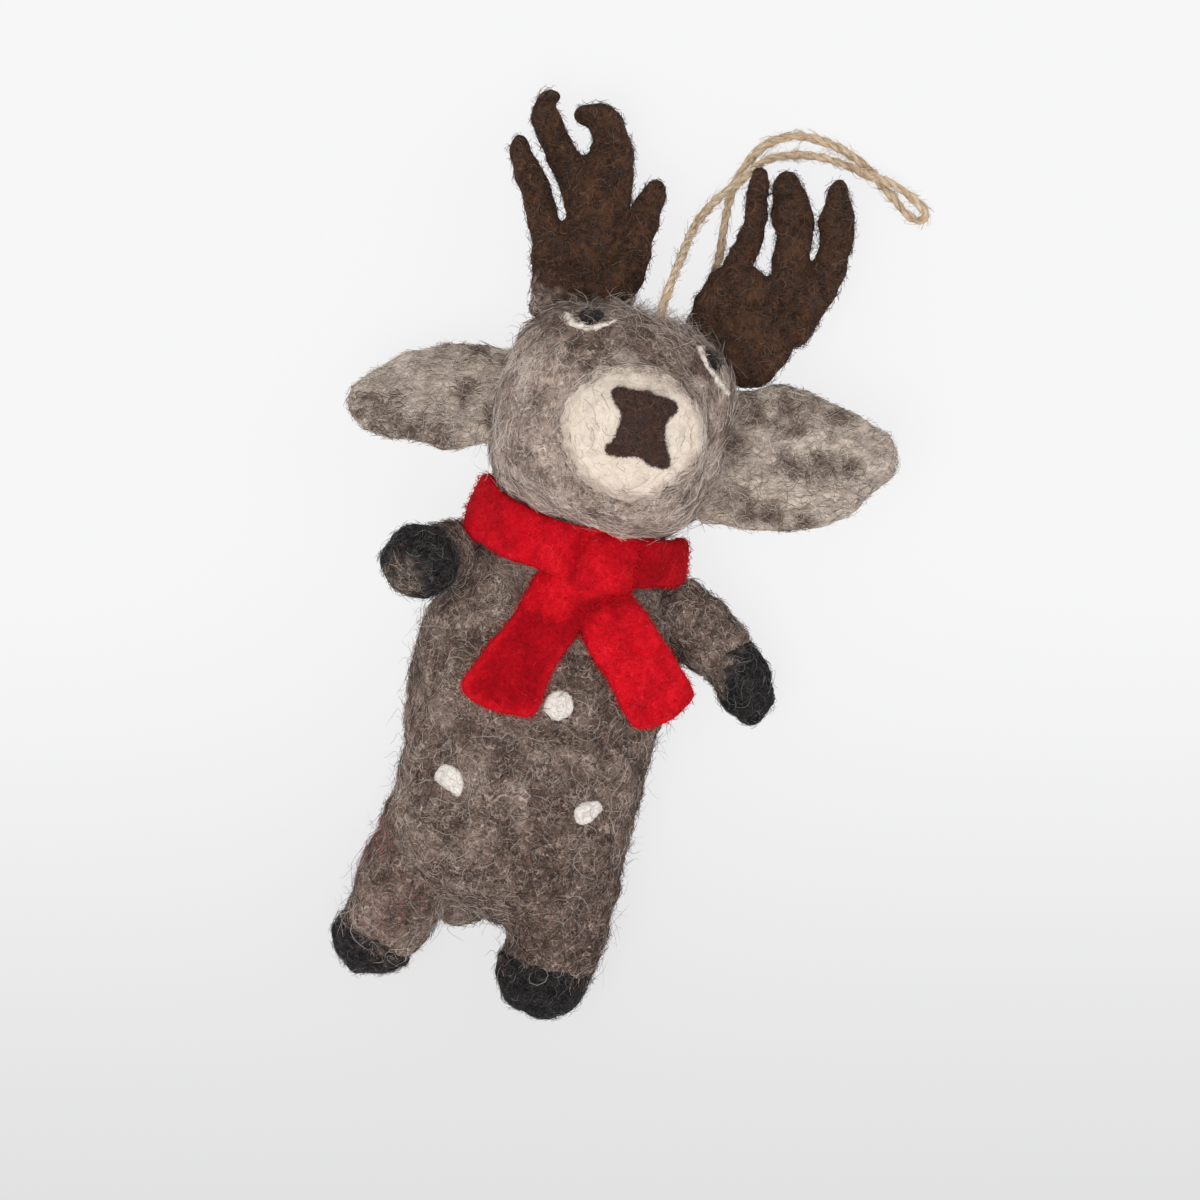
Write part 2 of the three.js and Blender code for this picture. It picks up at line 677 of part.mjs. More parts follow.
const knotTop = bandTop - knotDrop;
const knotFoot = knotTop - knotHeight;
const knotLeft = neckAside + knotAside - knotWidth / 2;
const knotRight = knotLeft + knotWidth;
const knotSlopeShare = 0.16; // how far in the knot's upper left corner is, of its width
const knotShoulderShare = 0.73; // how far down its right side reaches, of its height
const knotCornerShare = 0.9; // how far in its lowest corner is, of a tail's width
const knotCorner = v(knotLeft + knotCornerShare * scarfTailWidth, knotFoot - knotLap, 0);
const knotShoulder = v(knotRight, knotTop - knotShoulderShare * knotHeight, 0);

// The left tail is cut square across the knot's foot, and the right one across its slanting side.
const tailPlans = {
  left: {
    from: v(knotLeft, knotFoot - seam, 0), to: v(knotCorner.x - seam, knotFoot - seam, 0),
    lean: -15, length: leftTailLength,
  },
  right: { from: knotCorner.clone(), to: knotShoulder.clone(), lean: 47, length: rightTailLength },
};

function tailPrism(name) {
  const { from, to, lean, length } = tailPlans[name];
  const reach = v(0, -length, 0).applyAxisAngle(alongZ, lean * degrees);
  return prism([from, from.clone().add(reach), to.clone().add(reach), to], shoulderHeight);
}

function makeScarfTail(name) {
  return trunk(seam + scarfThickness).subtract(trunk(seam)).intersect(tailPrism(name));
}

function makeKnot() {
  const gap = v(0, seam, 0);
  const outline = [
    v(knotLeft, knotFoot, 0),
    v(knotLeft + knotSlopeShare * knotWidth, knotTop, 0),
    v(knotRight, knotTop, 0),
    knotShoulder.clone().add(gap),
    knotCorner.clone().add(gap),
    v(knotCorner.x, knotFoot, 0),
  ];
  const reach = seam * 2 + scarfThickness + knotThickness;
  const shell = trunk(reach).subtract(trunk(seam)).intersect(prism(outline, shoulderHeight));
  return clearedForHead(shell.subtract(bandForm(seam)));
}

// The twine: a long loop out of the crown, whose two ends are one stitch through the wool

// The loop's route, chosen point by point. It leaves the crown, falls to the table, crosses over itself,
// turns back at its far end and goes into the crown again behind the right antler.
const loopRoute = [
  [0.3, 66.5, 20.3], [0.5, 69.6, 18], [0.8, 73.5, 14], [1.1, 77.6, 9.8], [2.1, 81.5, 6.8],
  [3.9, 85.1, 4.7], [6, 87.9, 3.4], [7.7, 90.4, 2.6], [9.9, 92.4, 1.7], [13.2, 93.7, 1],
  [17.5, 94.4, 0.8], [21.8, 94.5, 0.9], [25.2, 94.3, 1.9], [28, 94.6, 2.75], [30.8, 94.5, 1.8],
  [33.3, 93.8, 0.9], [35.6, 92.7, 0.8], [37, 91.3, 0.8], [36, 90.1, 0.8], [33.9, 90.6, 0.8],
  [31.2, 92.1, 0.8], [28.3, 94, 0.8], [25.3, 95.9, 0.8], [22.2, 97, 0.8], [18.8, 97.8, 0.8],
  [15.2, 98, 0.8], [11.8, 97.4, 0.8], [8.9, 95.6, 0.8], [6.8, 92.6, 0.8], [5.8, 89.4, 0.8],
  [5.4, 85.5, 0.8], [5.8, 81, 1.2], [6.4, 77, 2.2], [6.6, 73, 3.6], [6.3, 69, 5.2], [5.7, 65, 7],
].map(([x, y, z]) => v(x, y, z));

// Where the twine comes out of the crown and goes back in, from the head's middle, as shares of its
// width and depth.
const twineOutShares = [0.048, 0.08];
const twineBackShares = [0.178, -0.26];

function onCrown([across, up]) {
  const mesh = new THREE.Mesh(geometryOf(head));
  const above = v(headMiddle.x + across * headWidth, farAway, headMiddle.z + up * headDepth);
  const [hit] = new THREE.Raycaster(above, v(0, -1, 0)).intersectObject(mesh);
  return hit.point;
}
const twineOut = onCrown(twineOutShares);
const twineBack = onCrown(twineBackShares);

// A round cord along a smooth line through the points.
function cordAlong(points, radius, steps) {
  const round = new THREE.Shape().absarc(0, 0, radius, 0, Math.PI * 2);
  const extrudePath = new THREE.CatmullRomCurve3(points, false, "centripetal");
  const options = { extrudePath, steps, curveSegments: 4, bevelEnabled: false };
  return solidOf(new THREE.ExtrudeGeometry(round, options));
}

// The stitch is half an ellipse through the wool, from one hole in the crown to the other.
function stitchRoute() {
  const middle = twineOut.clone().add(twineBack).divideScalar(2);
  const half = twineOut.clone().sub(middle);
  const points = [];
  const count = 8;
  for (let i = 0; i <= count; i += 1) {
    const angle = (Math.PI * i) / count;
    const point = middle.clone().addScaledVector(half, Math.cos(angle));
    points.push(point.add(v(0, -stitchDepth * Math.sin(angle), 0)));
  }
  return points;
}

const outward = (point, distance) => point.clone().add(v(0, distance, 0));

// The tunnel that the stitch lies in.
function makeBore() {
  const route = [outward(twineOut, overrun), ...stitchRoute(), outward(twineBack, overrun)];
  return cordAlong(route, twineDiameter / 2 + twineRoom, 30);
}

function makeLoop() {
  const clear = seam + twineDiameter / 4;
  const route = [outward(twineOut, clear), ...loopRoute, outward(twineBack, clear)];
  return cordAlong(route, twineDiameter / 2, 78);
}

// The assembly

const object = new THREE.Group();

// Slivers thinner than a small share of a seam are smoothed away.
const sliverShare = 1 / 20;

function place(name, material, solid) {
  const mesh = new THREE.Mesh(geometryOf(solid.simplify(seam * sliverShare)), material);
  mesh.name = name;
  object.add(mesh);
}

const torso = makeTorso();
place("torso", bodyWool, torso);
for (const name of ["left", "right"]) {
  place(`${name}_arm`, bodyWool, makeArm(name));
  place(`${name}_fore_hoof`, blackWool, makeFrontHoof(name));
  const leg = legForm(name).subtract(torsoForm(seam)).intersect(aboveTable);
  place(`${name}_leg`, bodyWool, leg.subtract(hoofSeam(name, 0)));
  place(`${name}_hind_hoof`, blackWool, leg.intersect(hoofSeam(name, seam)));
  place(`${name}_ear`, earWool, makeEar(name));
  place(`${name}_antler`, brownWool, makeAntler(name));
  place(`${name}_eye`, blackWool, makeEye(name));
  place(`${name}_eyelid`, whiteWool, makeEyelid(name));
  place(`scarf_${name}_tail`, redWool, makeScarfTail(name));
}
place("head", headWool, head.subtract(makeBore()));
place("loop_stitch", jute, cordAlong(stitchRoute(), twineDiameter / 2, 20));
place("hanging_loop", jute, makeLoop());
place("neck", headWool, makeNeck());
place("shoulder_thread", thread, bar(threadEnd(-1), threadEnd(1), threadRadius));
place("muzzle", creamWool, muzzleForm().subtract(headRoom));
place("nose", brownWool, makeNose());
place("tail", bodyWool, tailForm().subtract(torsoForm(seam)));
for (const [name, shares] of Object.entries(spotShares)) place(name, whiteWool, makeSpot(shares));
place("scarf_collar", redWool, makeCollar());
place("scarf_knot", redWool, makeKnot());

export default object;
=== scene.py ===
# %% [markdown]
# # A needle-felted reindeer
#
# The ornament is wool that has been stabbed with barbed needles until it holds its shape, with a
# knotted scarf of thick red felt and a loop of jute twine. It lies on its back on a pale surface.
# The CAD model is the frame: every piece here goes where the frame says, in metres, with +Y from the
# hooves to the antlers and +Z up out of the belly. Left and right are the viewer's.

import bpy
import numpy as np
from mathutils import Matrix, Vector


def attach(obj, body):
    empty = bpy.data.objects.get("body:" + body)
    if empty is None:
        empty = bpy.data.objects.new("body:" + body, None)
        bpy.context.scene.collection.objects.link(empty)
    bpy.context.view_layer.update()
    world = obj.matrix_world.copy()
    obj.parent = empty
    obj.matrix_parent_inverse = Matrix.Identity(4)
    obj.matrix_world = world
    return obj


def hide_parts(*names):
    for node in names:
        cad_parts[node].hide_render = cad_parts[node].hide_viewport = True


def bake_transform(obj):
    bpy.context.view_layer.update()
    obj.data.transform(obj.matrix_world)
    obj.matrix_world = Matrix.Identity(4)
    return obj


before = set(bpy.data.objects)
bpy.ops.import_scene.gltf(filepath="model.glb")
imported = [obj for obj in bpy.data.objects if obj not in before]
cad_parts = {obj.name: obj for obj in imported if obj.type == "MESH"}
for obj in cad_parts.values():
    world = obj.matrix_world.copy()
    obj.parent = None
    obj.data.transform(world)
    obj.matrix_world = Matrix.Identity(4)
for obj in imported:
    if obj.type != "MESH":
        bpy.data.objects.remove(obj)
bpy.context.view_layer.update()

mm = 0.001

# %% [markdown]
# ## The camera
#
# The picture was taken from straight above, with the figure turned on the table. A long lens far
# away keeps the sides from leaning, as in the picture. Everything below is measured in that picture
# at one scale: its whole width is 189.6 mm at the height of the ornament's middle.

# %% Camera
view_turn = np.radians(17)
view_middle = np.array([4.3, 17.8]) * mm
view_width = 189.6 * mm
view_level = 15 * mm  # the height at which that width holds
camera_distance = 900 * mm
sensor = 36.0

camera_data = bpy.data.cameras.new("camera")
camera_data.sensor_width = sensor
camera_data.lens = sensor * camera_distance / view_width
camera_data.clip_start, camera_data.clip_end = 0.01, 20
camera = bpy.data.objects.new("camera", camera_data)
camera.location = (*view_middle, camera_distance + view_level)
camera.rotation_euler = (0, 0, view_turn)
bpy.context.scene.collection.objects.link(camera)
bpy.context.scene.camera = camera
bpy.context.scene.view_settings.view_transform = "Standard"
print("lens:", round(camera_data.lens, 1), "mm")

# %% [markdown]
# ## Lines and meshes
#
# Every shape starts as a few measured points. A smooth line through them is worked out span by
# span, and extra columns, such as a form's half width, ride along with the three coordinates.
# The meshes are filled from whole arrays, which is much quicker than adding corner by corner.

# %% A smooth line


span_steps = 16


def smooth_line(points, steps=span_steps):
    """A Catmull-Rom line with centripetal spacing: each span is a cubic whose slopes at its two ends
    come from its neighbours, each weighed by the square root of the distance to it."""
    p = np.asarray(points, float)
    q = np.vstack([2 * p[0] - p[1], p, 2 * p[-1] - p[-2]])
    a, b, c, d = q[:-3], q[1:-2], q[2:-1], q[3:]
    before, span, after = [np.linalg.norm((w - v)[:, :3], axis=1)[:, None] ** 0.5
                           for v, w in ((a, b), (b, c), (c, d))]
    leave = ((b - a) / before - (c - a) / (before + span) + (c - b) / span) * span
    arrive = ((c - b) / span - (d - b) / (span + after) + (d - c) / after) * span
    t = np.linspace(0, 1, steps, endpoint=False)[:, None, None]
    line = b + leave * t + (3 * (c - b) - 2 * leave - arrive) * t**2 + (2 * (b - c) + leave + arrive) * t**3
    return np.vstack([line.transpose(1, 0, 2).reshape(-1, p.shape[1]), p[-1:]])


def run_of(line):
    """How far along a line each of its points is: the sum of the steps before it."""
    steps = np.linalg.norm(np.diff(line[:, :3], axis=0), axis=1)
    return np.concatenate([[0], np.cumsum(steps)])


def at_places(line, places):
    """The line's columns at distances along it, read between its points."""
    run = run_of(line)
    return np.stack([np.interp(places, run, column) for column in line.T], 1)


def rounded(part, square):
    """A cosine or sine raised to 2/square, with its sign kept: the larger square is, the squarer the
    outline that it draws."""
    return np.sign(part) * np.abs(part) ** (2 / square)


def unit(vectors):
    """Each vector divided by its own length."""
    return vectors / np.maximum(np.linalg.norm(vectors, axis=-1, keepdims=True), 1e-12)


# %% Meshes from arrays


def new_mesh(name, points, *face_sets):
    """A smooth-shaded mesh from a table of points and tables of triangles or quads."""
    mesh = bpy.data.meshes.new(name)
    mesh.vertices.add(len(points))
    mesh.vertices.foreach_set("co", np.ascontiguousarray(points, np.float32).ravel())
    corners = np.concatenate([f.ravel() for f in face_sets]).astype(np.int32)
    sizes = np.concatenate([np.full(len(f), f.shape[1]) for f in face_sets])
    mesh.loops.add(len(corners))
    mesh.loops.foreach_set("vertex_index", corners)
    mesh.polygons.add(len(sizes))
    mesh.polygons.foreach_set("loop_start", np.concatenate([[0], np.cumsum(sizes)[:-1]]).astype(np.int32))
    mesh.update(calc_edges=True)
    mesh.polygons.foreach_set("use_smooth", np.ones(len(sizes), bool))
    return mesh


def ring_faces(rings, sides):
    """Quads between rings of points and triangles at the two poles, numbered from one pole to the
    other."""
    here = 1 + np.arange(rings * sides).reshape(rings, sides)
    turned = np.roll(here, -1, axis=1)
    walls = np.stack([here[:-1], turned[:-1], turned[1:], here[1:]], -1).reshape(-1, 4)
    start = np.stack([np.zeros(sides, int), turned[0], here[0]], -1)
    end = np.stack([np.full(sides, 1 + rings * sides), here[-1], turned[-1]], -1)
    return walls, np.concatenate([start, end])


def new_piece(name, mesh, *materials):
    """An object at the origin, whose place is in its mesh."""
    for material in materials:
        mesh.materials.append(material)
    piece = bpy.data.objects.new(name, mesh)
    bpy.context.scene.collection.objects.link(piece)
    return piece


def table_of(values, key):
    """One row of three numbers for each of a mesh's points."""
    table = np.empty(len(values) * 3, np.float32)
    values.foreach_get(key, table)
    return table.reshape(-1, 3).astype(float)


def points_of(mesh):
    """The mesh's points as a table."""
    return table_of(mesh.vertices, "co")


def normals_of(mesh):
    """The mesh's outward direction at each point, as a table."""
    return table_of(mesh.vertex_normals, "vector")


def move_points(mesh, points):
    """Puts the mesh's points where a table says."""
    mesh.vertices.foreach_set("co", np.ascontiguousarray(points, np.float32).ravel())


def settle(piece):
    """Bakes a piece's modifiers into its mesh."""
    graph = bpy.context.evaluated_depsgraph_get()
    finished = bpy.data.meshes.new_from_object(piece.evaluated_get(graph))
    piece.modifiers.clear()
    piece.data = finished


# %% [markdown]
# ## The twine loop
#
# The ornament hangs from two-ply jute twine: two thin strands laid round each other, which is what
# gives the twine its slanting pattern. A picture on a plain tube would look flat from the side, so
# both plies are real tubes, each wound round the route at a fifth of the twine's width. The route starts
# and ends where the CAD model's does, and lies within 2 mm of it, as the picture shows it.

# %% The twine's route
twine = 1.5 * mm
twine_route = mm * np.array([
    [0.3, 62.7, 20.96], [0.3, 66.5, 20.3], [0.5, 69.6, 18], [0.8, 73.5, 14], [1.1, 77.6, 9.8],
    [2.1, 81.5, 6.8], [3.9, 85.1, 4.7], [5.9, 88.1, 3.4], [7.6, 90.9, 2.6], [9.7, 93.4, 1.7],
    [13.2, 95.2, 1], [17.5, 96.1, 0.8], [21.8, 96, 1], [25.1, 95.5, 2.2], [27.8, 95.4, 2.8],
    [30.4, 95, 1.9], [32.8, 94.4, 0.9], [35, 93.3, 0.8], [36.3, 92.1, 0.8], [35.4, 90.9, 0.8],
    [33.2, 91.5, 0.8], [30.8, 93, 0.8], [28.1, 94.7, 0.8], [25.3, 96.5, 0.8], [22.2, 97.7, 0.8],
    [18.8, 98.5, 0.8], [15.2, 98.6, 0.8], [11.8, 97.9, 0.8], [8.9, 95.9, 0.8], [6.8, 92.8, 0.8],
    [5.8, 89.4, 0.8], [5.4, 85.5, 0.8], [5.8, 81, 1.2], [6.4, 77, 2.2], [6.6, 73, 3.6],
    [6.3, 69, 5.2], [5.7, 65, 7], [5.19, 60.9, 8.38],
])
twine_step = 0.25 * mm
twine_line = smooth_line(twine_route)
twine_length = run_of(twine_line)[-1]
twine_rings = int(twine_length / twine_step)
twine_path = at_places(twine_line, np.linspace(0, twine_length, twine_rings))
print("the twine's length in mm:", round(twine_length / mm, 1))

# %% Its two plies


def tubes(lines, across, up, radius, sides, lean=0.0):
    """Closed round tubes along many lines at once. A ring's point at angle a is the line's point plus
    radius times (across * cos a + up * sin a), and the first and last points are the tube's two poles.
    lines, across and up are (tubes, rings, 3), and radius is (tubes, rings)."""
    count, rings = lines.shape[:2]
    angle = np.arange(sides) * 2 * np.pi / sides + lean
    spoke = across[:, 1:-1, None] * np.cos(angle)[:, None] + up[:, 1:-1, None] * np.sin(angle)[:, None]
    body = lines[:, 1:-1, None] + radius[:, 1:-1, None, None] * spoke
    points = np.concatenate([lines[:, :1], body.reshape(count, -1, 3), lines[:, -1:]], 1)
    walls, ends = ring_faces(rings - 2, sides)
    offset = (np.arange(count) * points.shape[1])[:, None, None]
    return points.reshape(-1, 3), (walls + offset).reshape(-1, 4), (ends + offset).reshape(-1, 3)


def frames_along(lines):
    """For each point of the lines, its direction, and two directions square to it: one level and one up."""
    direction = unit(np.gradient(lines, axis=1))
    level = unit(np.cross(np.broadcast_to([0.05, 0.1, 1.0], lines.shape), direction))
    return direction, level, np.cross(direction, level)


ply_turn = 4.6 * mm  # along the twine, for one turn of a ply
ply_swing = 0.2 * twine
ply_radius = 0.27 * twine
ply_sides = 12
lowest_jute = 0.02 * mm  # above the table
run = run_of(twine_path)
_, level, up = frames_along(twine_path[None])
turn = run / ply_turn * 2 * np.pi + 0.5 * np.sin(run / (7 * mm))
plies = []
for side in (0, np.pi):
    swing = level * np.cos(turn + side)[:, None] + up * np.sin(turn + side)[:, None]
    plies.append(twine_path[None] + swing * ply_swing)
plies = np.concatenate(plies)
_, level, up = frames_along(plies)
fray = ply_radius * (1 + 0.09 * np.sin(run / (1.7 * mm)) + 0.07 * np.sin(run / (0.63 * mm) + 1))
ply_radii = np.broadcast_to(fray, plies.shape[:2])
points, walls, ends = tubes(plies, level, up, ply_radii, ply_sides)
points[:, 2] = np.maximum(points[:, 2], lowest_jute)
twine_mesh = new_mesh("twine", points, walls, ends)
print("the twine's triangles:", 2 * len(walls) + len(ends))

# %% The strands' own coordinates on the plies


def write_place(mesh, places):
    """Keeps each point's place in the wool, which the materials read, so that a pattern stays on the
    wool where a piece bends."""
    attribute = mesh.attributes.new("place", "FLOAT_VECTOR", "POINT")
    attribute.data.foreach_set("vector", np.ascontiguousarray(places, np.float32).ravel())


drawn_out = 0.16  # how much of the pattern a length of ply takes up, which draws its strands out
ply_apart = 9 * mm  # between the two plies' patterns, so that they differ
around = np.arange(ply_sides) * 2 * np.pi / ply_sides
ring_run = np.repeat(run[1:-1], ply_sides)
ring_turn = np.tile(around, len(run) - 2)
one = np.stack([ring_run * drawn_out, ply_radius * np.cos(ring_turn), ply_radius * np.sin(ring_turn)], 1)
one = np.vstack([[0, 0, 0], one, [run[-1] * drawn_out, 0, 0]])
write_place(twine_mesh, np.vstack([one, one + ply_apart]))

# %% [markdown]
# ## Wool as a material
#
# Felted wool is a mat of curly fibres with small dark pits between them. In a material, a curly line
# is where a warped noise crosses its middle value: close to one half it's a thin line that winds
# about. Seven such layers lie over a softer noise for the pits. The group below is used by every wool
# and felt, each with its own colours and sizes, and puts out a colour and a height for the bump.

# %% Colours and node helpers


def tint(red, green, blue):
    """A colour picker's 0 to 255 as the linear light that shaders take: ((c + 0.055) / 1.055) ^ 2.4."""
    c = np.array([red, green, blue]) / 255
    return (*np.where(c <= 0.04045, c / 12.92, ((c + 0.055) / 1.055) ** 2.4).tolist(), 1.0)


def add(tree, kind, inputs=(), **settings):
    """Adds a node. An input that is another node's socket is linked, and any other value is set."""
    node = tree.nodes.new("ShaderNode" + kind)
    for key, value in settings.items():
        setattr(node, key, value)
    for key, value in dict(inputs).items():
        if isinstance(value, bpy.types.NodeSocket):
            tree.links.new(value, node.inputs[key])
        else:
            node.inputs[key].default_value = value
    return node


def calc(tree, operation, *values):
    """A Math node's result."""
    return add(tree, "Math", dict(enumerate(values)), operation=operation).outputs[0]


def ramp(tree, value, low, high, from_here=0.0, to_here=1.0):
    """A smooth step between two values: from_here up to low, to_here from high on."""
    inputs = {"Value": value, "From Min": low, "From Max": high, "To Min": from_here, "To Max": to_here}
    return add(tree, "MapRange", inputs, interpolation_type="SMOOTHSTEP").outputs[0]


def blended(tree, share, first, second):
    """A Mix node's colour."""
    return add(tree, "Mix", {0: share, 6: first, 7: second}, data_type="RGBA").outputs[2]


# %% The wool group


wool_sockets = ("Pit colour", "Wool colour", "Strand colour", "Patch colour")


def make_wool_group():
    """Colour and height of felted wool: pits, seven layers of curly strands, and large soft patches."""
    tree = bpy.data.node_groups.new("felted_wool", "ShaderNodeTree")
    sockets = [("Vector", "Vector", None), ("Pit colour", "Color", (0.1, 0.1, 0.1, 1)),
               ("Wool colour", "Color", (0.3, 0.3, 0.3, 1)), ("Strand colour", "Color", (0.6, 0.6, 0.6, 1)),
               ("Patch colour", "Color", (0.4, 0.4, 0.4, 1)), ("Strands per metre", "Float", 800.0),
               ("Strand width", "Float", 0.035), ("Patches per metre", "Float", 120.0),
               ("Patch share", "Float", 0.5), ("Curl", "Float", 0.8)]
    for name, kind, value in sockets:
        socket = tree.interface.new_socket(name, in_out="INPUT", socket_type="NodeSocket" + kind)
        if value is not None:
            socket.default_value = value
    tree.interface.new_socket("Color", in_out="OUTPUT", socket_type="NodeSocketColor")
    tree.interface.new_socket("Height", in_out="OUTPUT", socket_type="NodeSocketFloat")
    given = tree.nodes.new("NodeGroupInput").outputs
    result = tree.nodes.new("NodeGroupOutput").inputs

    def noise(scale, shift, detail=2.0, warp=0.0, rough=0.5):
        moved = add(tree, "VectorMath", {0: given["Vector"], 1: shift}, operation="ADD").outputs[0]
        inputs = {"Vector": moved, "Scale": scale, "Detail": detail, "Distortion": warp, "Roughness": rough}
        return add(tree, "TexNoise", inputs).outputs["Fac"]

    pits = ramp(tree, noise(given["Strands per metre"], (0.07, 0.05, 0.03), 1.5, 0.8, 0.6), 0.34, 0.6)
    patches = ramp(tree, noise(given["Patches per metre"], (0.4, 0.3, 0.1), 3.0, 0.8, 0.6), 0.4, 0.64)
    patches = calc(tree, "MULTIPLY", patches, given["Patch share"])
    wool = blended(tree, patches, given["Wool colour"], given["Patch colour"])
    colour = blended(tree, pits, blended(tree, 0.7, wool, given["Pit colour"]), wool)
    height = calc(tree, "MULTIPLY", pits, 0.3)
    layers = ((1.3, 0.25), (0.75, 0.45), (1.1, 0.2), (0.85, 0.65), (1.4, 0.75), (0.6, 0.85), (0.95, 1.0))
    for layer, (size, light) in enumerate(layers):
        scale = calc(tree, "MULTIPLY", given["Strands per metre"], size)
        shift = (0.031 * layer, 0.017 * layer, 0.011 * layer)
        value = noise(scale, shift, 0.4, given["Curl"])
        off = calc(tree, "ABSOLUTE", calc(tree, "SUBTRACT", value, 0.5))
        line = ramp(tree, off, 0.0, given["Strand width"], 1.0, 0.0)
        fade = ramp(tree, noise(calc(tree, "MULTIPLY", scale, 0.45), (0.2, 0.1 * layer, 0.05)), 0.38, 0.6)
        line = calc(tree, "MULTIPLY", line, fade)
        tone = blended(tree, light, blended(tree, 0.35, wool, given["Pit colour"]), given["Strand colour"])
        colour = blended(tree, calc(tree, "MULTIPLY", line, 0.85), colour, tone)
        height = calc(tree, "MAXIMUM", height, calc(tree, "MULTIPLY", line, 0.5 + 0.07 * layer))
    tree.links.new(colour, result["Color"])
    tree.links.new(height, result["Height"])
    return tree


wool_group = make_wool_group()
print("nodes in the wool group:", len(wool_group.nodes))

# %% Materials of wool


def wool_material(name, pit, wool, strand, patch=None, per_metre=800.0, width=0.035, patches=120.0,
                  patch_share=0.5, curl=0.8, stretch=(1, 1, 1), bump=0.15, sheen=0.25, on_object=False,
                  fades_to=None):
    """A felted surface. stretch squeezes the pattern along an axis, which draws its strands out there.
    fades_to gives another wool's four colours, which show where the mesh's share attribute says."""
    material = bpy.data.materials.new(name)
    material.use_nodes = True
    tree = material.node_tree
    tree.nodes.clear()
    if on_object:
        place = add(tree, "TexCoord").outputs["Object"]
    else:
        place = add(tree, "Attribute", attribute_name="place").outputs["Vector"]
    place = add(tree, "Mapping", {"Vector": place, "Scale": stretch}).outputs["Vector"]
    colours = {key: tint(*colour) for key, colour in zip(wool_sockets, (pit, wool, strand, patch or wool))}
    inputs = {"Vector": place, **colours, "Strands per metre": per_metre, "Strand width": width,
              "Patches per metre": patches, "Patch share": patch_share, "Curl": curl}
    if fades_to is not None:
        share = add(tree, "Attribute", attribute_name="share").outputs["Fac"]
        for key, colour in zip(wool_sockets, fades_to):
            inputs[key] = blended(tree, share, inputs[key], tint(*colour))
    group = add(tree, "Group", inputs, node_tree=wool_group)
    rise = add(tree, "Bump", {"Height": group.outputs["Height"], "Distance": bump * mm, "Strength": 0.8})
    shader = add(tree, "BsdfPrincipled", {
        "Base Color": group.outputs["Color"], "Normal": rise.outputs[0], "Roughness": 0.95,
        "Specular IOR Level": 0.15, "Sheen Weight": sheen, "Sheen Roughness": 0.6})
    shader.inputs["Sheen Tint"].default_value = tint(*strand)
    out = add(tree, "OutputMaterial")
    tree.links.new(shader.outputs[0], out.inputs[0])
    return material


def fibre_materials(name, *colours, gloss=0.2):
    """One plain material for each shade of loose fibre. A fibre is thinner than a hair, so its colour
    doesn't change across it, and the shades differ from fibre to fibre."""
    made = []
    for number, colour in enumerate(colours):
        material = bpy.data.materials.new(f"{name}_{number + 1}")
        material.use_nodes = True
        shader = material.node_tree.nodes["Principled BSDF"]
        shader.inputs["Base Color"].default_value = tint(*colour)
        shader.inputs["Roughness"].default_value = 0.75
        shader.inputs["Specular IOR Level"].default_value = gloss
        shader.inputs["Sheen Weight"].default_value = gloss
        made.append(material)
    return made


# %% [markdown]
# ## Felting a form
#
# A maker starts with rolled wool and pushes it into shape, so every limb is a rounded bar that melts
# into its neighbour. Here a form is a few measured stations, each with a middle, a half width and a
# half depth, joined by rounded sections with a dome at either end. The forms of one piece are then
# fused by a voxel remesh, relaxed, and roughened by a sum of random waves, which gives the lumps that
# the needle leaves.

# %% A form from stations


def form(stations, out=(0, 0, 1), caps=(3, 3), square=2.0, around=48, rings=40, domes=10):
    """A closed form through stations of x, y, z, half width and half depth, in millimetres. Its section's
    point at angle a is across by the half width times |cos a|^(2/square), and out by the half depth times
    |sin a|^(2/square), with their signs. In a dome of length L it shrinks by sqrt(1 - (1 - depth/L)^2)."""
    line = smooth_line(np.array(stations, float) * mm)
    length = run_of(line)[-1]
    first, last = np.array(caps) * mm
    rise = 1 - np.cos(np.linspace(0, np.pi / 2, domes, endpoint=False))
    straight = np.linspace(first, length - last, rings)
    places = np.concatenate([first * rise, straight, (length - last * rise)[::-1]])
    rows = at_places(line, places)
    middle = rows[:, :3]
    along = unit(np.gradient(at_places(line, np.clip(places, 0, length))[:, :3], places, axis=0))
    facing = unit(np.array(out, float) - along * (along @ np.array(out, float))[:, None])
    across = np.cross(facing, along)
    share = np.sqrt(np.clip(1 - (1 - np.minimum(places / first, 1)) ** 2, 0, 1))
    share = share * np.sqrt(np.clip(1 - (1 - np.minimum((length - places) / last, 1)) ** 2, 0, 1))
    angle = np.arange(around) * 2 * np.pi / around
    wide, deep = rounded(np.cos(angle), square), rounded(np.sin(angle), square)
    grid = (middle[:, None] + across[:, None] * (rows[:, 3] * share)[:, None, None] * wide[:, None]
            + facing[:, None] * (rows[:, 4] * share)[:, None, None] * deep[:, None])
    points = np.vstack([middle[:1], grid[1:-1].reshape(-1, 3), middle[-1:]])
    walls, ends = ring_faces(len(places) - 2, around)
    return points, walls, ends


# %% Waves, remesh and relax


def waves(points, wavelength, height, seed, count=48):
    """Random lumps: the sum of many sine waves that run in random directions, scaled so that the lumps'
    usual height is the one given, whatever the count."""
    rng = np.random.default_rng(seed)
    directions = unit(rng.normal(size=(count, 3)))
    lengths = wavelength * rng.uniform(0.7, 1.4, count)
    phases = rng.uniform(0, 2 * np.pi, count)
    turns = points @ (directions / lengths[:, None]).T * 2 * np.pi + phases
    return height * np.sqrt(2 / count) * np.sin(turns).sum(1)


def clumps(places, size=8 * mm):
    """How light the carded wool is from place to place: waves of two sizes, usually between -1 and 1."""
    return waves(places, size, 0.8, 300) + waves(places, size * 0.45, 0.6, 301)


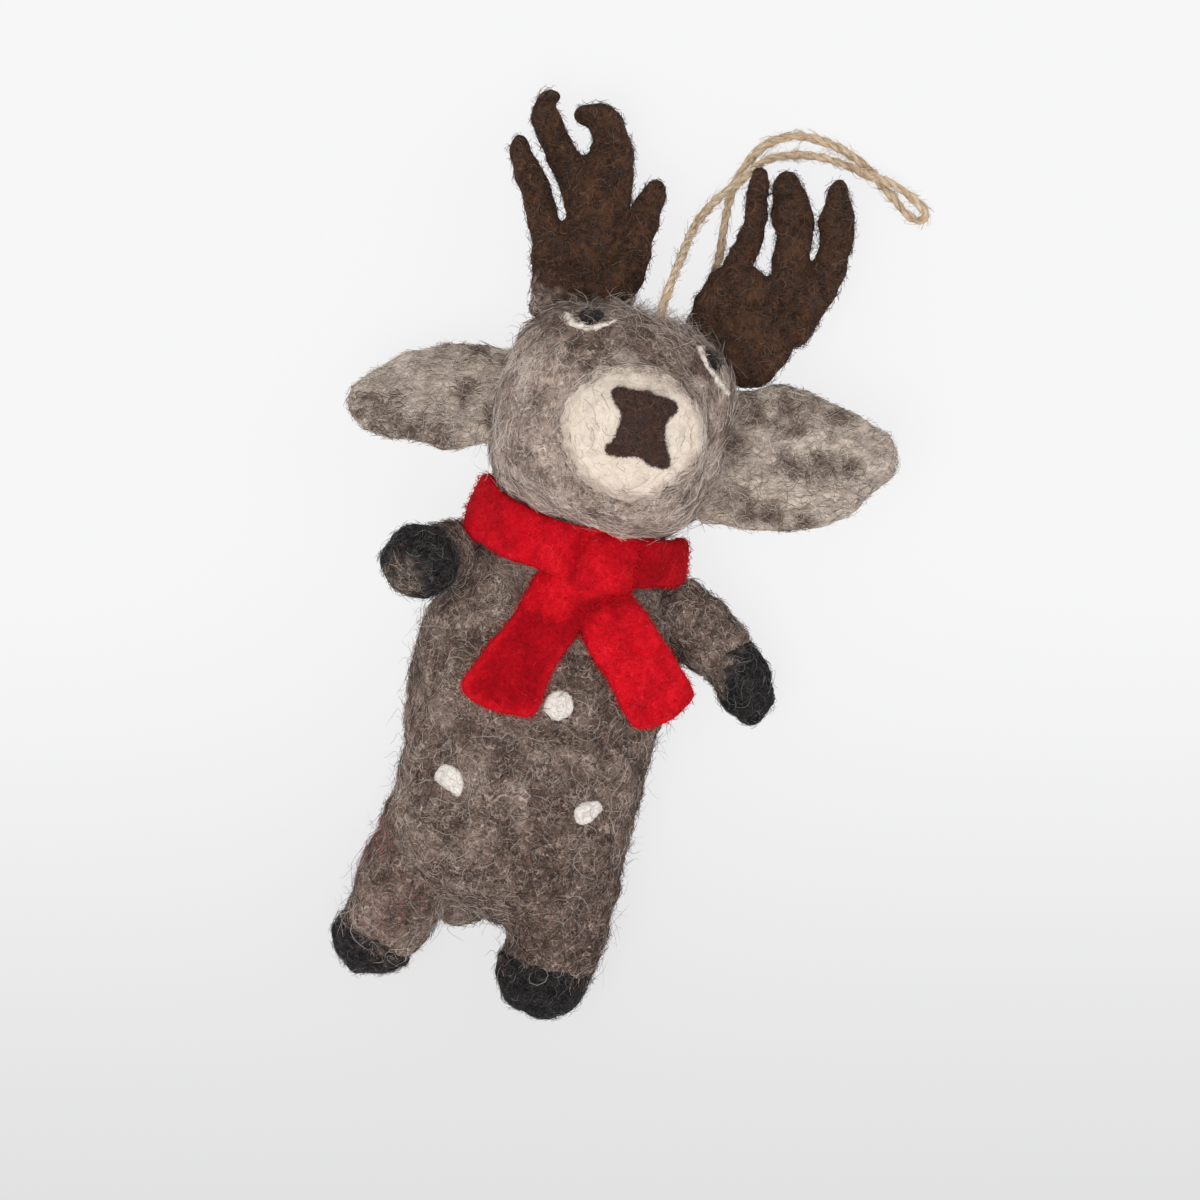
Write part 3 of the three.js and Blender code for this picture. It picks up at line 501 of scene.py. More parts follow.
def felted(name, forms, material, voxel=0.5, melt=4, lumps=(6, 0.22), dents=(1.8, 0.05), seed=1,
           share=None, axes=None):
    """Fuses closed forms into one felt piece. lumps and dents are a wavelength and a height in
    millimetres. share works out how far the material fades to its other wool at each point, and axes
    turns the place that the material reads, so that its strands can run along a limb."""
    points, walls, ends, start = [], [], [], 0
    for p, w, e in forms:
        points.append(p)
        walls.append(w + start)
        ends.append(e + start)
        start += len(p)
    mesh = new_mesh(name, np.vstack(points), np.vstack(walls), np.vstack(ends))
    piece = new_piece(name, mesh)
    fuse = piece.modifiers.new("fuse", "REMESH")
    fuse.mode, fuse.voxel_size, fuse.use_smooth_shade = "VOXEL", voxel * mm, True
    relax = piece.modifiers.new("relax", "SMOOTH")
    relax.factor, relax.iterations = 0.5, melt
    settle(piece)
    mesh = piece.data
    places = points_of(mesh)
    rough = (waves(places, lumps[0] * mm, lumps[1] * mm, seed)
             + waves(places, dents[0] * mm, dents[1] * mm, seed + 50))
    places = places + normals_of(mesh) * rough[:, None]
    places[:, 2] = np.maximum(places[:, 2], 0)
    move_points(mesh, places)
    write_place(mesh, places if axes is None else places @ np.array(axes).T)
    if share is not None:
        attribute = mesh.attributes.new("share", "FLOAT", "POINT")
        attribute.data.foreach_set("value", np.clip(share(places), 0, 1).astype(np.float32))
    mesh.polygons.foreach_set("use_smooth", np.ones(len(mesh.polygons), bool))
    mesh.materials.clear()
    mesh.materials.append(material)
    mesh.update()
    mesh.calc_loop_triangles()
    print(name, "has", len(mesh.loop_triangles), "triangles")
    return piece


# %% Lying on a surface


above_all = 80.0  # millimetres over the table, higher than every piece


def rest_on(points, ground, from_above=False):
    """Each point's nearest place on a piece, or the place under it, and the surface's outward direction
    there. Shrinkwrap works both out for a whole table of points: once on the surface, once 1 mm above."""
    reach = 1 * mm
    found = []
    for offset in (0.0, reach):
        mesh = bpy.data.meshes.new("laid")
        mesh.vertices.add(len(points))
        move_points(mesh, points)
        probe = new_piece("laid", mesh)
        wrap = probe.modifiers.new("wrap", "SHRINKWRAP")
        wrap.target, wrap.offset, wrap.wrap_mode = ground, offset, "ABOVE_SURFACE"
        if from_above:
            wrap.wrap_method, wrap.use_project_z, wrap.use_negative_direction = "PROJECT", True, True
            wrap.use_positive_direction = False
        settle(probe)
        found.append(points_of(probe.data))
        bpy.data.objects.remove(probe)
    return found[0], unit(found[1] - found[0])


# %% [markdown]
# ## Loose fibres
#
# Seen close, felt is never a closed skin: every surface carries curly fibres, a few millimetres
# long, half sunk in it, and some stand off and make its edge soft. Hair particles would vanish in a
# mesh export, so each fibre is a thin three-sided tube. A fibre starts at a random spot, winds in the
# plane of the surface as its heading drifts, and is laid on the surface by the helper above.

# %% Fibres
sunk = 0.06  # millimetres: how deep a fibre's ends lie in the wool, and how low one lies on the table


def fibres(name, ground, count, materials, length=(1.8, 4.2), rise=(0.05, 0.3), width=0.09, seed=1,
           loose=0.25, stand=(0.3, 1.1), curl=2.6, comb=None, spread=0.6, weights=None, keep=None, joints=7,
           under=0.35, lighter=None):
    """Fibres on a piece, in millimetres. A lying fibre rises by rise * sin(pi s) over its length, and a
    loose one leaves the surface by stand * s^1.5. comb gives a direction for points, and spread how far
    the fibres stray from it, in radians. keep says which of the roots are used, and under is the share
    of the fibres that the side on the table keeps. lighter says how light the fibres are at a place,
    and the materials, darkest first, are then given out in that order."""
    rng = np.random.default_rng(seed)
    mesh = ground.data
    mesh.calc_loop_triangles()
    corners = np.empty(len(mesh.loop_triangles) * 3, np.int32)
    mesh.loop_triangles.foreach_get("vertices", corners)
    corner = points_of(mesh)[corners.reshape(-1, 3)]
    normal = np.cross(corner[:, 1] - corner[:, 0], corner[:, 2] - corner[:, 0])
    area = np.linalg.norm(normal, axis=1)
    area = area * np.where(normal[:, 2] < -0.6 * area, under, 1)
    count = int(count)
    pick = rng.choice(len(area), count, p=area / area.sum())
    a, b = np.sqrt(rng.random(count))[:, None], rng.random(count)[:, None]
    root = corner[pick, 0] * (1 - a) + corner[pick, 1] * a * (1 - b) + corner[pick, 2] * a * b
    normal = unit(normal[pick])
    if keep is not None:
        kept = keep(root, normal)
        root, normal = root[kept], normal[kept]
        count = len(root)
    lead = rng.normal(size=(count, 3)) if comb is None else comb(root, normal)
    lead = unit(lead - normal * (lead * normal).sum(1, keepdims=True))
    side = np.cross(normal, lead)
    s = np.linspace(0, 1, joints)
    heading = rng.normal(0, spread, count)[:, None] + rng.normal(0, curl, count)[:, None] * (s - 0.5)
    drift = s * rng.uniform(0.6, 1.4, (count, 1)) + rng.random((count, 1))
    heading = heading + 0.5 * np.sin(2 * np.pi * drift)
    size = rng.uniform(*length, count) * mm
    step = (size / (joints - 1))[:, None, None] * (lead[:, None] * np.cos(heading)[..., None]
                                                   + side[:, None] * np.sin(heading)[..., None])
    line = root[:, None] + np.cumsum(step, 1) - step.mean(1, keepdims=True) * joints / 2
    line, out = rest_on(line.reshape(-1, 3), ground)
    out = out.reshape(count, joints, 3)
    is_loose = rng.random(count) < loose * np.where(np.abs(normal[:, 2]) < 0.45, 1.8, 1)
    lying = rng.uniform(*rise, count)[:, None] * np.sin(np.pi * s)
    standing = rng.uniform(*stand, count)[:, None] * s**1.5
    height = (np.where(is_loose[:, None], standing, lying) - sunk) * mm
    line = line.reshape(count, joints, 3) + out * height[..., None]
    line[..., 2] = np.maximum(line[..., 2], sunk * mm)
    along = unit(np.gradient(line, axis=1))
    across = unit(np.cross(along, out))
    taper = width / 2 * mm * np.sqrt(np.clip(1 - np.abs(2 * s - 1) ** 2.5, 0.02, 1))
    radius = taper * rng.uniform(0.7, 1.2, (count, 1))
    points, walls, ends = tubes(line, across, np.cross(across, along), radius, 3, np.pi / 2)
    fibre_mesh = new_mesh(name, points, walls, ends)
    piece = new_piece(name, fibre_mesh, *materials)
    shade = rng.choice(len(materials), count, p=weights)
    if lighter is not None:
        order = np.argsort(np.argsort(rng.normal(size=count) + lighter(root)))
        shade = np.sort(shade)[order]
    per = [len(walls) // count, len(ends) // count]
    fibre_mesh.polygons.foreach_set("material_index", np.concatenate(
        [np.repeat(shade, per[0]), np.repeat(shade, per[1])]).astype(np.int32))
    print(name, "has", count, "fibres,", 2 * len(walls) + len(ends), "triangles")
    return piece


# %% [markdown]
# ## Bodies
#
# Each piece moves with one of the frame's bodies.

# %% What a piece belongs to


def belong(body, slot, *pieces):
    """Pieces that move with a body of the frame. slot, the frame's material slot for them, is not used."""
    for piece in pieces:
        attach(piece, body)


# %% [markdown]
# ## Torso, legs and tail
#
# The body is one firm bar of grey-brown wool with two stumps felted on below, and a small stub of a
# tail behind. No seam shows between them, so they are fused. The back is pressed flat by the table.

# %% Body form
body_stations = [
    [0.5, -35.4, 9.7, 14.5, 6.4], [0.9, -29, 11.4, 19.2, 10.7], [0.9, -17.7, 12.2, 18.7, 12.1],
    [-0.5, -4.2, 12.2, 19.7, 12.7], [-1, 3.6, 12.2, 20.5, 12.7], [-1.1, 10.8, 12.1, 20, 12.2],
    [-1.7, 16.8, 11.9, 17.4, 11.2], [-1.9, 24.5, 12.5, 13.9, 10],
]
leg_stations = {
    -1: [[-11, -24.6, 12.2, 6.4, 6.2], [-12.2, -33.4, 10.9, 7.6, 7.6], [-12.9, -39, 9.9, 7, 7.3],
         [-14.2, -43.6, 9.1, 6, 6.4], [-14.6, -47, 8.7, 5, 5.4]],
    1: [[12.2, -24.6, 12.2, 6.4, 6.2], [13, -33.4, 10.9, 8.1, 7.8], [13.2, -38, 9.9, 7.4, 7.3],
        [12.9, -43, 9.2, 6.5, 6.8], [13.2, -45.5, 8.8, 5.6, 5.8]],
}
tail_stations = [[-0.4, -24.4, 3.8, 4.6, 3.4], [-1.6, -31, 3.7, 5, 3.4], [-4.2, -38.9, 3.5, 3.8, 3]]

body_colours = ((28, 17, 13), (76, 56, 48), (186, 166, 153), (108, 85, 74))
light_body_colours = ((44, 31, 26), (117, 95, 85), (212, 193, 181), (150, 128, 117))
body_wool = wool_material("body_wool", *body_colours, per_metre=900, patches=260, patch_share=0.9,
                          fades_to=light_body_colours)


def body_tone_and_shade(places):
    """How far the body's wool is the lighter of its two shades: it varies at random with the carded
    clumps, and the right side and right leg are darker by painted shade.
    """
    x, y = places[:, 0] / mm, places[:, 1] / mm
    low = np.clip((-16 - y) / 14, 0, 1)
    right = np.clip((x + 2) / 10, 0, 1)
    return 0.52 + (0.33 - 0.1 * low) * clumps(places) - (0.22 + 0.46 * low) * right


body = felted("body_wool", [
    form(body_stations, square=2.4, caps=(9, 2.5), around=96, rings=60),
    form(leg_stations[-1], square=2.2, caps=(4, 5)),
    form(leg_stations[1], square=2.2, caps=(4, 5)),
    form(tail_stations, caps=(1, 4)),
], body_wool, voxel=0.55, melt=8, seed=3, share=body_tone_and_shade)

# %% Body fibres
body_shades = fibre_materials("body_fibre", (46, 32, 26), (95, 75, 66), (150, 131, 119), (210, 193, 181))
body_weights = [0.33, 0.27, 0.25, 0.15]
# The fibres follow the wool: lighter with the clumps, and darker on the right side as painted shade.
body_fibres = [fibres(f"body_fibres_{n}", body, 5000, body_shades, weights=body_weights, loose=0.3,
                      seed=10 + n, length=(2, 5.5), width=0.085, curl=2.3, joints=8,
                      lighter=lambda p: 1.6 * body_tone_and_shade(p))
               for n in (1, 2)]


def near_pink(points, normals):
    """Roots within a few millimetres of three places where a little pink wool was caught."""
    spots = np.array([[-14.2, -39.4], [-11, -36.4], [-19, -29]]) * mm
    away = np.linalg.norm(points[:, None, :2] - spots, axis=2).min(1)
    return (away < 3.9 * mm) & (normals[:, 2] > -0.4)


pink_shades = fibre_materials("pink_fibre", (146, 84, 81), (172, 108, 102))
pink_fibres = fibres("pink_fibres", body, 7000, pink_shades, seed=19, keep=near_pink, width=0.1)

# %% Ride
belong("torso", "body_wool", body, *body_fibres, pink_fibres)
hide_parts("torso", "left_leg", "right_leg", "tail")

# %% [markdown]
# ## Floor and light
#
# The table is a pale matt surface, lit softly from above and leaning to the lower left, with a weak
# lamp at the upper right. The body's right side is darker by painted shade in its wool. The world
# gives the even part of the light. What the camera sees of the floor is lifted towards white by Light
# Path, which leaves the light on the ornament as it is.

# %% Light
right = np.array([np.cos(view_turn), np.sin(view_turn)])
top = np.array([-np.sin(view_turn), np.cos(view_turn)])


def lamp(name, aside, up, height, level, size, colour):
    """A soft square lamp. level is the light it adds to a white surface that faces it: the power of a
    small lamp at distance d is level * pi^2 * d^2."""
    data = bpy.data.lights.new(name, "AREA")
    place = np.array([*(view_middle + right * aside + top * up), height])
    distance = np.linalg.norm(place - [*view_middle, 0])
    data.energy = level * np.pi**2 * distance**2
    data.size = size
    data.color = colour
    made = bpy.data.objects.new(name, data)
    made.location = place
    made.rotation_mode = "QUATERNION"
    made.rotation_quaternion = Vector(place - [*view_middle, 0]).to_track_quat("Z", "Y")
    bpy.context.scene.collection.objects.link(made)
    return made


def seen_itself(tree):
    """1 where the camera looks at something itself, also in a mirror or through glass, and 0 where it
    only lights other things."""
    path = add(tree, "LightPath").outputs
    beyond = calc(tree, "MAXIMUM", path["Is Glossy Ray"], path["Is Transmission Ray"])
    return calc(tree, "MAXIMUM", path["Is Camera Ray"], beyond)


lamp("softbox", -0.14, -0.18, 0.85, 0.47, 0.5, (1.0, 0.985, 0.965))
lamp("window", 0.6, 0.2, 0.5, 0.1, 0.5, (0.95, 0.98, 1.0))

world = bpy.data.worlds.new("room")
bpy.context.scene.world = world
world.use_nodes = True
tree = world.node_tree
tree.nodes.clear()
seen = seen_itself(tree)
even = add(tree, "Background", {"Color": (0.98, 0.99, 1.0, 1), "Strength": 0.62})
backdrop = add(tree, "Background", {"Color": tint(243, 243, 243), "Strength": 1.0})
mixed = add(tree, "MixShader", {0: seen, 1: even.outputs[0], 2: backdrop.outputs[0]})
tree.links.new(mixed.outputs[0], add(tree, "OutputWorld").inputs[0])

# %% Floor
floor_half = 1.5
floor_mesh = new_mesh("table", np.array([[-1, -1, 0], [1, -1, 0], [1, 1, 0], [-1, 1, 0]]) * floor_half
                      - [0, 0, 0.05 * mm], np.array([[0, 1, 2, 3]]))
floor_material = bpy.data.materials.new("pale_table")
floor_material.use_nodes = True
tree = floor_material.node_tree
tree.nodes.clear()
seen = seen_itself(tree)
plain = add(tree, "BsdfDiffuse", {"Color": tint(236, 236, 237)})
# Seen by the camera, the floor is painted a little brighter towards the top of the picture, where the
# window is: painted light.
place = add(tree, "TexCoord").outputs["Object"]
upward = add(tree, "VectorMath", {0: place, 1: (*top, 0)}, operation="DOT_PRODUCT").outputs["Value"]
up_share = ramp(tree, upward, -100 * mm, 30 * mm)
painted_floor_falloff = blended(tree, up_share, tint(221, 221, 221), tint(248, 248, 249))
lifted = add(tree, "Emission", {"Color": painted_floor_falloff, "Strength": 1.0})
lift = calc(tree, "MULTIPLY", seen, 0.85)
both = add(tree, "MixShader", {0: lift, 1: plain.outputs[0], 2: lifted.outputs[0]})
tree.links.new(both.outputs[0], add(tree, "OutputMaterial").inputs[0])
floor = new_piece("table", floor_mesh, floor_material)

# %% [markdown]
# ## Pads of wool laid on the surface
#
# The muzzle's cream wool, the nose, the eyes and the spots are thin tufts that were needled onto a
# finished form. Each is a closed pad: rings that shrink from a measured outline to its middle, laid on
# the wool below by the helper above. The rings rise at the top and dive under the surface at the
# bottom, so the rim sinks into the wool instead of standing on it.

# %% A pad from an outline


def closed_line(outline, count):
    """A smooth closed line through a few points, in count even steps, clockwise seen from above."""
    p = np.array(outline, float)
    line = smooth_line(np.vstack([p[-1:], p, p[:2]]))[span_steps:-span_steps]
    line = at_places(line, np.linspace(0, run_of(line)[-1], count, endpoint=False))
    x, y = line.T
    clockwise = (x * np.roll(y, -1) - np.roll(x, -1) * y).sum() < 0
    return line if clockwise else line[::-1]


def from_rim(places, outline):
    """How far each place is from a closed outline given in millimetres, seen from above."""
    rim = closed_line(outline, 120) * mm
    return np.linalg.norm(places[:, None, :2] - rim[None], axis=2).min(1)


def pad(ground, outline, top, depth, edge=3.0, rings=14, around=96, ragged=0.0, seed=1, lifted=None):
    """A closed pad on a piece, in millimetres. Ring t, from 0 at the top's middle to pi underneath, has
    sin(t)^(2/edge) of the outline's size, and is top * cos(t)^(2/edge) above the piece, or depth times
    that below it. ragged is how far the outline strays, and lifted adds a height for each place."""
    rim = closed_line(outline, around)
    middle = rim.mean(0)
    rim = rim + unit(rim - middle) * waves(np.c_[rim, 0 * rim[:, :1]], 2.3, ragged, seed)[:, None]
    t = np.linspace(0, np.pi, 2 * rings + 1)[:, None, None]
    size = np.clip(np.sin(t), 0, 1) ** (2 / edge)
    rise = rounded(np.cos(t), edge)
    flat = middle + size * (rim - middle)
    flat = np.vstack([middle[None], flat[1:-1].reshape(-1, 2), middle[None]])
    rise = np.concatenate([[1], np.repeat(rise[1:-1, 0, 0], around), [-1]])
    laid, out = rest_on(np.c_[flat, np.full(len(flat), above_all)] * mm, ground, from_above=True)
    height = np.where(rise > 0, top, depth) * rise
    if lifted is not None:
        height = height + lifted(flat)
    walls, ends = ring_faces(2 * rings - 1, around)
    return laid + out * height[:, None] * mm, walls, ends


# %% [markdown]
# ## Arms and hooves
#
# Each arm is a bar of the body's wool whose tip is wrapped in black wool, so the hoof is a little
# thicker than the arm and its edge is soft. The left arm points up out of the belly, and the right one
# lies out to the side. Both turn on the thread through the shoulders.

# %% Arm forms
arm_stations = {
    "left": [[-17, 20.2, 8.5, 4.2, 4.2], [-19.1, 18.8, 12.8, 4.6, 4.6], [-21.1, 17.6, 18.4, 4.7, 4.7],
             [-23.2, 16.5, 24, 4.4, 4.4]],
    "right": [[12.5, 21.2, 13.2, 4.7, 4.3], [16, 19.8, 12.9, 5.6, 4.8], [20, 18, 12.5, 5.7, 4.9],
              [24.5, 15.7, 12, 5.3, 4.7], [27.5, 13.4, 11.7, 4.5, 4.3]],
}
hoof_stations = {
    "left": [[-22.2, 16.8, 21.6, 4.6, 4.5], [-23.7, 15.8, 25.2, 5.6, 5.5], [-24.9, 15, 28.6, 5.7, 5.6],
             [-26, 14.3, 32.4, 4.6, 4.5]],
    "right": [[24.6, 16, 12, 4.4, 4.4], [27.9, 13.9, 11.6, 4.6, 4.7], [30.5, 10.9, 11.2, 4.4, 4.5],
              [32, 7.8, 10.9, 3.7, 3.7], [32.5, 5.8, 10.8, 3.1, 3.2]],
}
arm_out = {"left": (0, 1, 0), "right": (0, 0, 1)}
black_colours = ((7, 7, 8), (18, 17, 19), (84, 79, 78), (36, 34, 35))
black_wool = wool_material("black_wool", *black_colours, per_metre=800, width=0.025, patches=170,
                           patch_share=0.6, sheen=0.1, fades_to=light_body_colours)
hoof_shades = fibre_materials("hoof_fibre", (20, 19, 20), (50, 47, 48), (102, 96, 93), (146, 138, 133))


def wrap_share(stations, reach=1.4):
    """How far black wool wrapped round a limb fades to the limb's own: fully at its start, and not at
    all past the reach, with a ragged edge."""
    start, after = np.array(stations)[:2, :3]
    along = (after - start) / np.linalg.norm(after - start)
    return lambda places: 1 - (places / mm - start) @ along / reach + waves(places, 2.2 * mm, 0.5, 77)


def left_hoof_share(places):
    """On the left hoof, a round patch below is painted in the body's wool: painted light on its lower
    side, which faces the lamp.
    """
    away = np.linalg.norm(places / mm - [-27, 10.6, 32], axis=1)
    wrapped = wrap_share(hoof_stations["left"])(places)
    lit_patch = 0.85 * np.clip((5.6 - away) / 3, 0, 1) + waves(places, 2 * mm, 0.12, 82)
    return np.maximum(wrapped, lit_patch * (away < 6.5))


def right_hoof_share(places):
    """The right hoof's black wool covers only the side that faces away from the body."""
    return 1 - (places[:, 0] / mm - 26.3) / 1.4 + waves(places, 2.2 * mm, 0.5, 83)


fore_hoof_share = {"left": left_hoof_share, "right": right_hoof_share}
# In this loop and those below, extra is added to each seed, so that left and right differ.
for name, extra in (("left", 5), ("right", 6)):
    arm = felted(f"{name}_arm_wool", [form(arm_stations[name], arm_out[name], (4, 3))], body_wool,
                 voxel=0.45, seed=20 + extra, share=body_tone_and_shade)
    hoof = felted(f"{name}_fore_hoof_wool", [form(hoof_stations[name], arm_out[name], (1.6, 4.6))],
                  black_wool, voxel=0.45, melt=9, lumps=(5, 0.15), seed=30 + extra,
                  share=fore_hoof_share[name])
    arm_hair = fibres(f"{name}_arm_fibres", arm, 1400, body_shades, weights=body_weights, seed=40 + extra,
                      length=(2, 5), width=0.085)
    hoof_hair = fibres(f"{name}_fore_hoof_fibres", hoof, 900, hoof_shades, length=(2, 5), seed=50 + extra,
                       weights=[0.5, 0.3, 0.15, 0.05], curl=2.2, width=0.07)
    # Body-wool fibres where the hoof fades to the limb's wool, and on the left hoof's painted light patch.
    edge_and_lit_hair = fibres(f"{name}_hoof_worn_fibres", hoof, 1500, body_shades, weights=body_weights,
                       seed=55 + extra, length=(1.5, 4), width=0.08, keep=lambda p,
                       n: fore_hoof_share[name](p) > 0.4)
    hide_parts(f"{name}_arm")
    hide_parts(f"{name}_fore_hoof")
    belong(f"{name}_arm", "body_wool", arm, arm_hair, edge_and_lit_hair)
    belong(f"{name}_arm", "black_wool", hoof, hoof_hair)

# %% Hind hooves
hind_stations = {
    "left": [[-13.4, -41.8, 9.6, 6.6, 6.9], [-14.4, -44.2, 9.2, 6.5, 6.9], [-15.1, -47.4, 8.8, 5.7, 6.2],
             [-15.3, -50, 8.6, 4.6, 5]],
    "right": [[12.6, -37.6, 10.3, 7.6, 7.6], [13, -41.4, 9.6, 7.4, 7.5], [12.5, -45.4, 8.9, 6.6, 6.8],
              [12.1, -48.6, 8.6, 5.4, 5.4]],
}
for name, extra in (("left", 1), ("right", 2)):
    hoof = felted(f"{name}_hind_hoof_wool", [form(hind_stations[name], square=2.2, caps=(2.2, 4.6))],
                  black_wool, voxel=0.45, lumps=(5, 0.15), seed=60 + extra,
                  share=wrap_share(hind_stations[name]))
    hair = fibres(f"{name}_hind_hoof_fibres", hoof, 900, hoof_shades, length=(1.5, 4), seed=70 + extra,
                  weights=[0.64, 0.26, 0.08, 0.02], curl=2.4, width=0.07)
    wrap = wrap_share(hind_stations[name], 3.4)
    over_hair = fibres(f"{name}_hind_hoof_edge_fibres", hoof, 1600, body_shades, weights=body_weights,
                       seed=75 + extra, length=(1.5, 4), width=0.08, keep=lambda p, n: wrap(p) > 0.3)
    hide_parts(f"{name}_hind_hoof")
    belong("torso", "black_wool", hoof, hair)
    belong("torso", "body_wool", over_hair)

# %% [markdown]
# ## Neck and head
#
# The head is one ball of a lighter wool with squarish cheeks, and the mound of the muzzle is fused to
# its front before the cream wool goes on. A short core of wool joins it to the body under the scarf.

# %% Head form
head_middle = np.array([-2.2, 45.3])
head_profile = [[-0.5, 9.6, 9], [3.2, 15.2, 14.4], [9.5, 18, 17.1], [17.3, 18.3, 17.4], [24.7, 17.8, 17],
                [31, 15.4, 14.8], [36.5, 10.5, 9.8]]  # height above the table, half width, half height
muzzle_middle = np.array([1.3, 44.3])
muzzle_profile = [[28.5, 10.6, 9.6], [33.5, 11.3, 10.3], [38, 11.2, 10.2], [42, 9.6, 8.8]]
head_form = form([[*head_middle, z, w, d] for z, w, d in head_profile], (0, 1, 0), (5, 5), square=3,
                 around=80)
muzzle_form = form([[*muzzle_middle, z, w, d] for z, w, d in muzzle_profile], (0, 1, 0), (3, 7.5))

head_colours = ((86, 68, 58), (166, 144, 131), (238, 224, 213), (186, 164, 151))
head_wool = wool_material("head_wool", *head_colours, per_metre=850, patches=220, patch_share=0.9,
                          fades_to=body_colours)


def head_tone_and_forehead_shade(places):
    """How far the head's wool is the body's darker one: a little at random, and most on the forehead,
    between the eyes, partly for its darker strands and partly as painted shade on the top of the head.
    """
    return 0.22 + 0.62 * np.clip((places[:, 1] / mm - 50) / 6, 0, 1) - 0.26 * clumps(places)


head = felted("head_wool", [head_form, muzzle_form], head_wool, voxel=0.48, melt=10, lumps=(8, 0.2), seed=5,
              share=head_tone_and_forehead_shade)


def round_muzzle(points, normals):
    """The direction that runs round the muzzle's middle, square to the line from it."""
    away = points - [*muzzle_middle * mm, 0]
    return np.stack([-away[:, 1], away[:, 0], 0 * away[:, 0]], 1)


head_shades = fibre_materials("head_fibre", (78, 60, 51), (150, 129, 117), (206, 187, 175), (240, 227, 217))
# The head's fibres are darker where its wool is: partly darker strands, partly painted shade.
head_fibres = fibres("head_fibres", head, 5000, head_shades, comb=round_muzzle, spread=0.5, length=(2.5, 6),
                     curl=1.8, width=0.08, joints=8, weights=[0.26, 0.26, 0.28, 0.2], seed=81,
                     lighter=lambda p: -2.2 * head_tone_and_forehead_shade(p))
crown_fibres = fibres("crown_fibres", head, 5000, head_shades[1:], length=(3, 6), stand=(1, 3.4), loose=1,
                      width=0.06, weights=[0.5, 0.3, 0.2], curl=2.2, seed=86,
                      keep=lambda p,
                      n: (p[:, 1] > 57.5 * mm) & (np.abs(p[:, 0] / mm) < 6.5) & (n[:, 1] > 0.5))
neck = felted("neck_wool", [form([[-1.5, 23, 15.2, 9, 8.6], [-1.5, 31, 16, 9, 8.6]], caps=(1.5, 1.5))],
              head_wool, voxel=0.6, seed=7)
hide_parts("head")
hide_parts("neck")
belong("neck", "head_wool", neck)

# %% Muzzle and nose
cream_colours = ((233, 215, 197), (240, 225, 209), (249, 240, 228), (238, 219, 203))
cream_wool = wool_material("cream_wool", *cream_colours, per_metre=1000, patches=100, patch_share=0.6,
                           bump=0.03, fades_to=head_colours)
muzzle_rim = [[13, 45.5], [10.9, 50.2], [6.4, 53.4], [1.2, 54.4], [-4.6, 53], [-8.6, 49.4], [-10, 44.6],
              [-8.6, 39.4], [-4.8, 35], [0.6, 33.2], [6.5, 34.1], [11.2, 39]]


def muzzle_fade_and_shade(places):
    """How far the cream wool thins out to the head's: fully at the rim, and hardly 1.8 mm inside it.
    At its lower side the fade reaches 2.2 mm, which is painted shade under the muzzle. Above the nose
    it is thinner all over."""
    inside = from_rim(places, muzzle_rim)
    reach = np.interp(places[:, 1] / mm, [36, 41], [2.2, 1.8]) * mm
    thin = 0.4 * np.clip((places[:, 1] / mm - 48) / 5, 0, 1)
    return np.maximum(1.05 - inside / reach, 0) + thin + waves(places, 2.5 * mm, 0.12, 78)


muzzle = felted("muzzle_wool", [pad(head, muzzle_rim, 0.5, 1.4, edge=2.2, ragged=0.3, around=160)],
                cream_wool, voxel=0.36, melt=4, lumps=(7, 0.06), dents=(1.8, 0.01), seed=8, share=muzzle_fade_and_shade)
muzzle_shades = fibre_materials("muzzle_fibre", (212, 193, 173), (234, 218, 200), (248, 238, 226))
muzzle_fibres = fibres("muzzle_fibres", muzzle, 2900, muzzle_shades, comb=round_muzzle, spread=0.7,
                       weights=[0.15, 0.45, 0.4], seed=82, rise=(0.02, 0.1), loose=0.1, width=0.075,
                       keep=lambda p, n: n[:, 2] > 0.1)

brown_felt = wool_material("brown_felt", (42, 27, 22), (66, 46, 40), (110, 78, 66), per_metre=1100,
                           width=0.03, patches=200, patch_share=0.4)
nose_rim = [[5.9, 45.6], [6.1, 47.1], [6.6, 48.4], [7, 49.4], [6, 50.1], [4, 50.2], [1.9, 50.1], [-0.6, 49.8],
            [-2.5, 49.5], [-3.2, 48.7], [-2.4, 47.7], [-1.2, 46.5], [-0.4, 44.7], [-0.5, 42.9], [-1.1, 41.4],
            [-1.7, 40.2], [-0.7, 39.7], [1.2, 40.2], [3.6, 40.6], [6, 40.2], [7.7, 40.2], [8, 41],
            [7.2, 42.6], [6.4, 44.1]]
nose = felted("nose_felt", [pad(muzzle, nose_rim, 0.75, 0.8, edge=5, ragged=0.12, around=220,
                                lifted=lambda flat: 0 * flat[:, 0] + 0.15)], brown_felt,
              voxel=0.24, melt=1, lumps=(3, 0.05), dents=(1.3, 0.03), seed=9)
nose_shades = fibre_materials("nose_fibre", (52, 36, 31), (80, 56, 47), (112, 82, 68))
nose_fibres = fibres("nose_fibres", nose, 900, nose_shades, length=(0.8, 2.2), rise=(0.03, 0.15), width=0.08,
                     weights=[0.55, 0.33, 0.12], seed=83, stand=(0.2, 0.5), keep=lambda p, n: n[:, 2] > -0.2)
nose_fringe = fibres("nose_fringe", nose, 2400, nose_shades, length=(0.7, 1.7), width=0.09, seed=84, loose=1,
                     stand=(0.2, 0.6), joints=6, keep=lambda p, n: np.abs(n[:, 2]) < 0.75)
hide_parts("muzzle")
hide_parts("nose")
belong("head", "head_wool", head, head_fibres, crown_fibres)
belong("head", "cream_wool", muzzle, muzzle_fibres)
belong("head", "brown_felt", nose, nose_fibres, nose_fringe)

# %% [markdown]
# ## Eyes
#
# Each eye is a small oval of black wool high on the head, with a thin crescent of white wool under it.

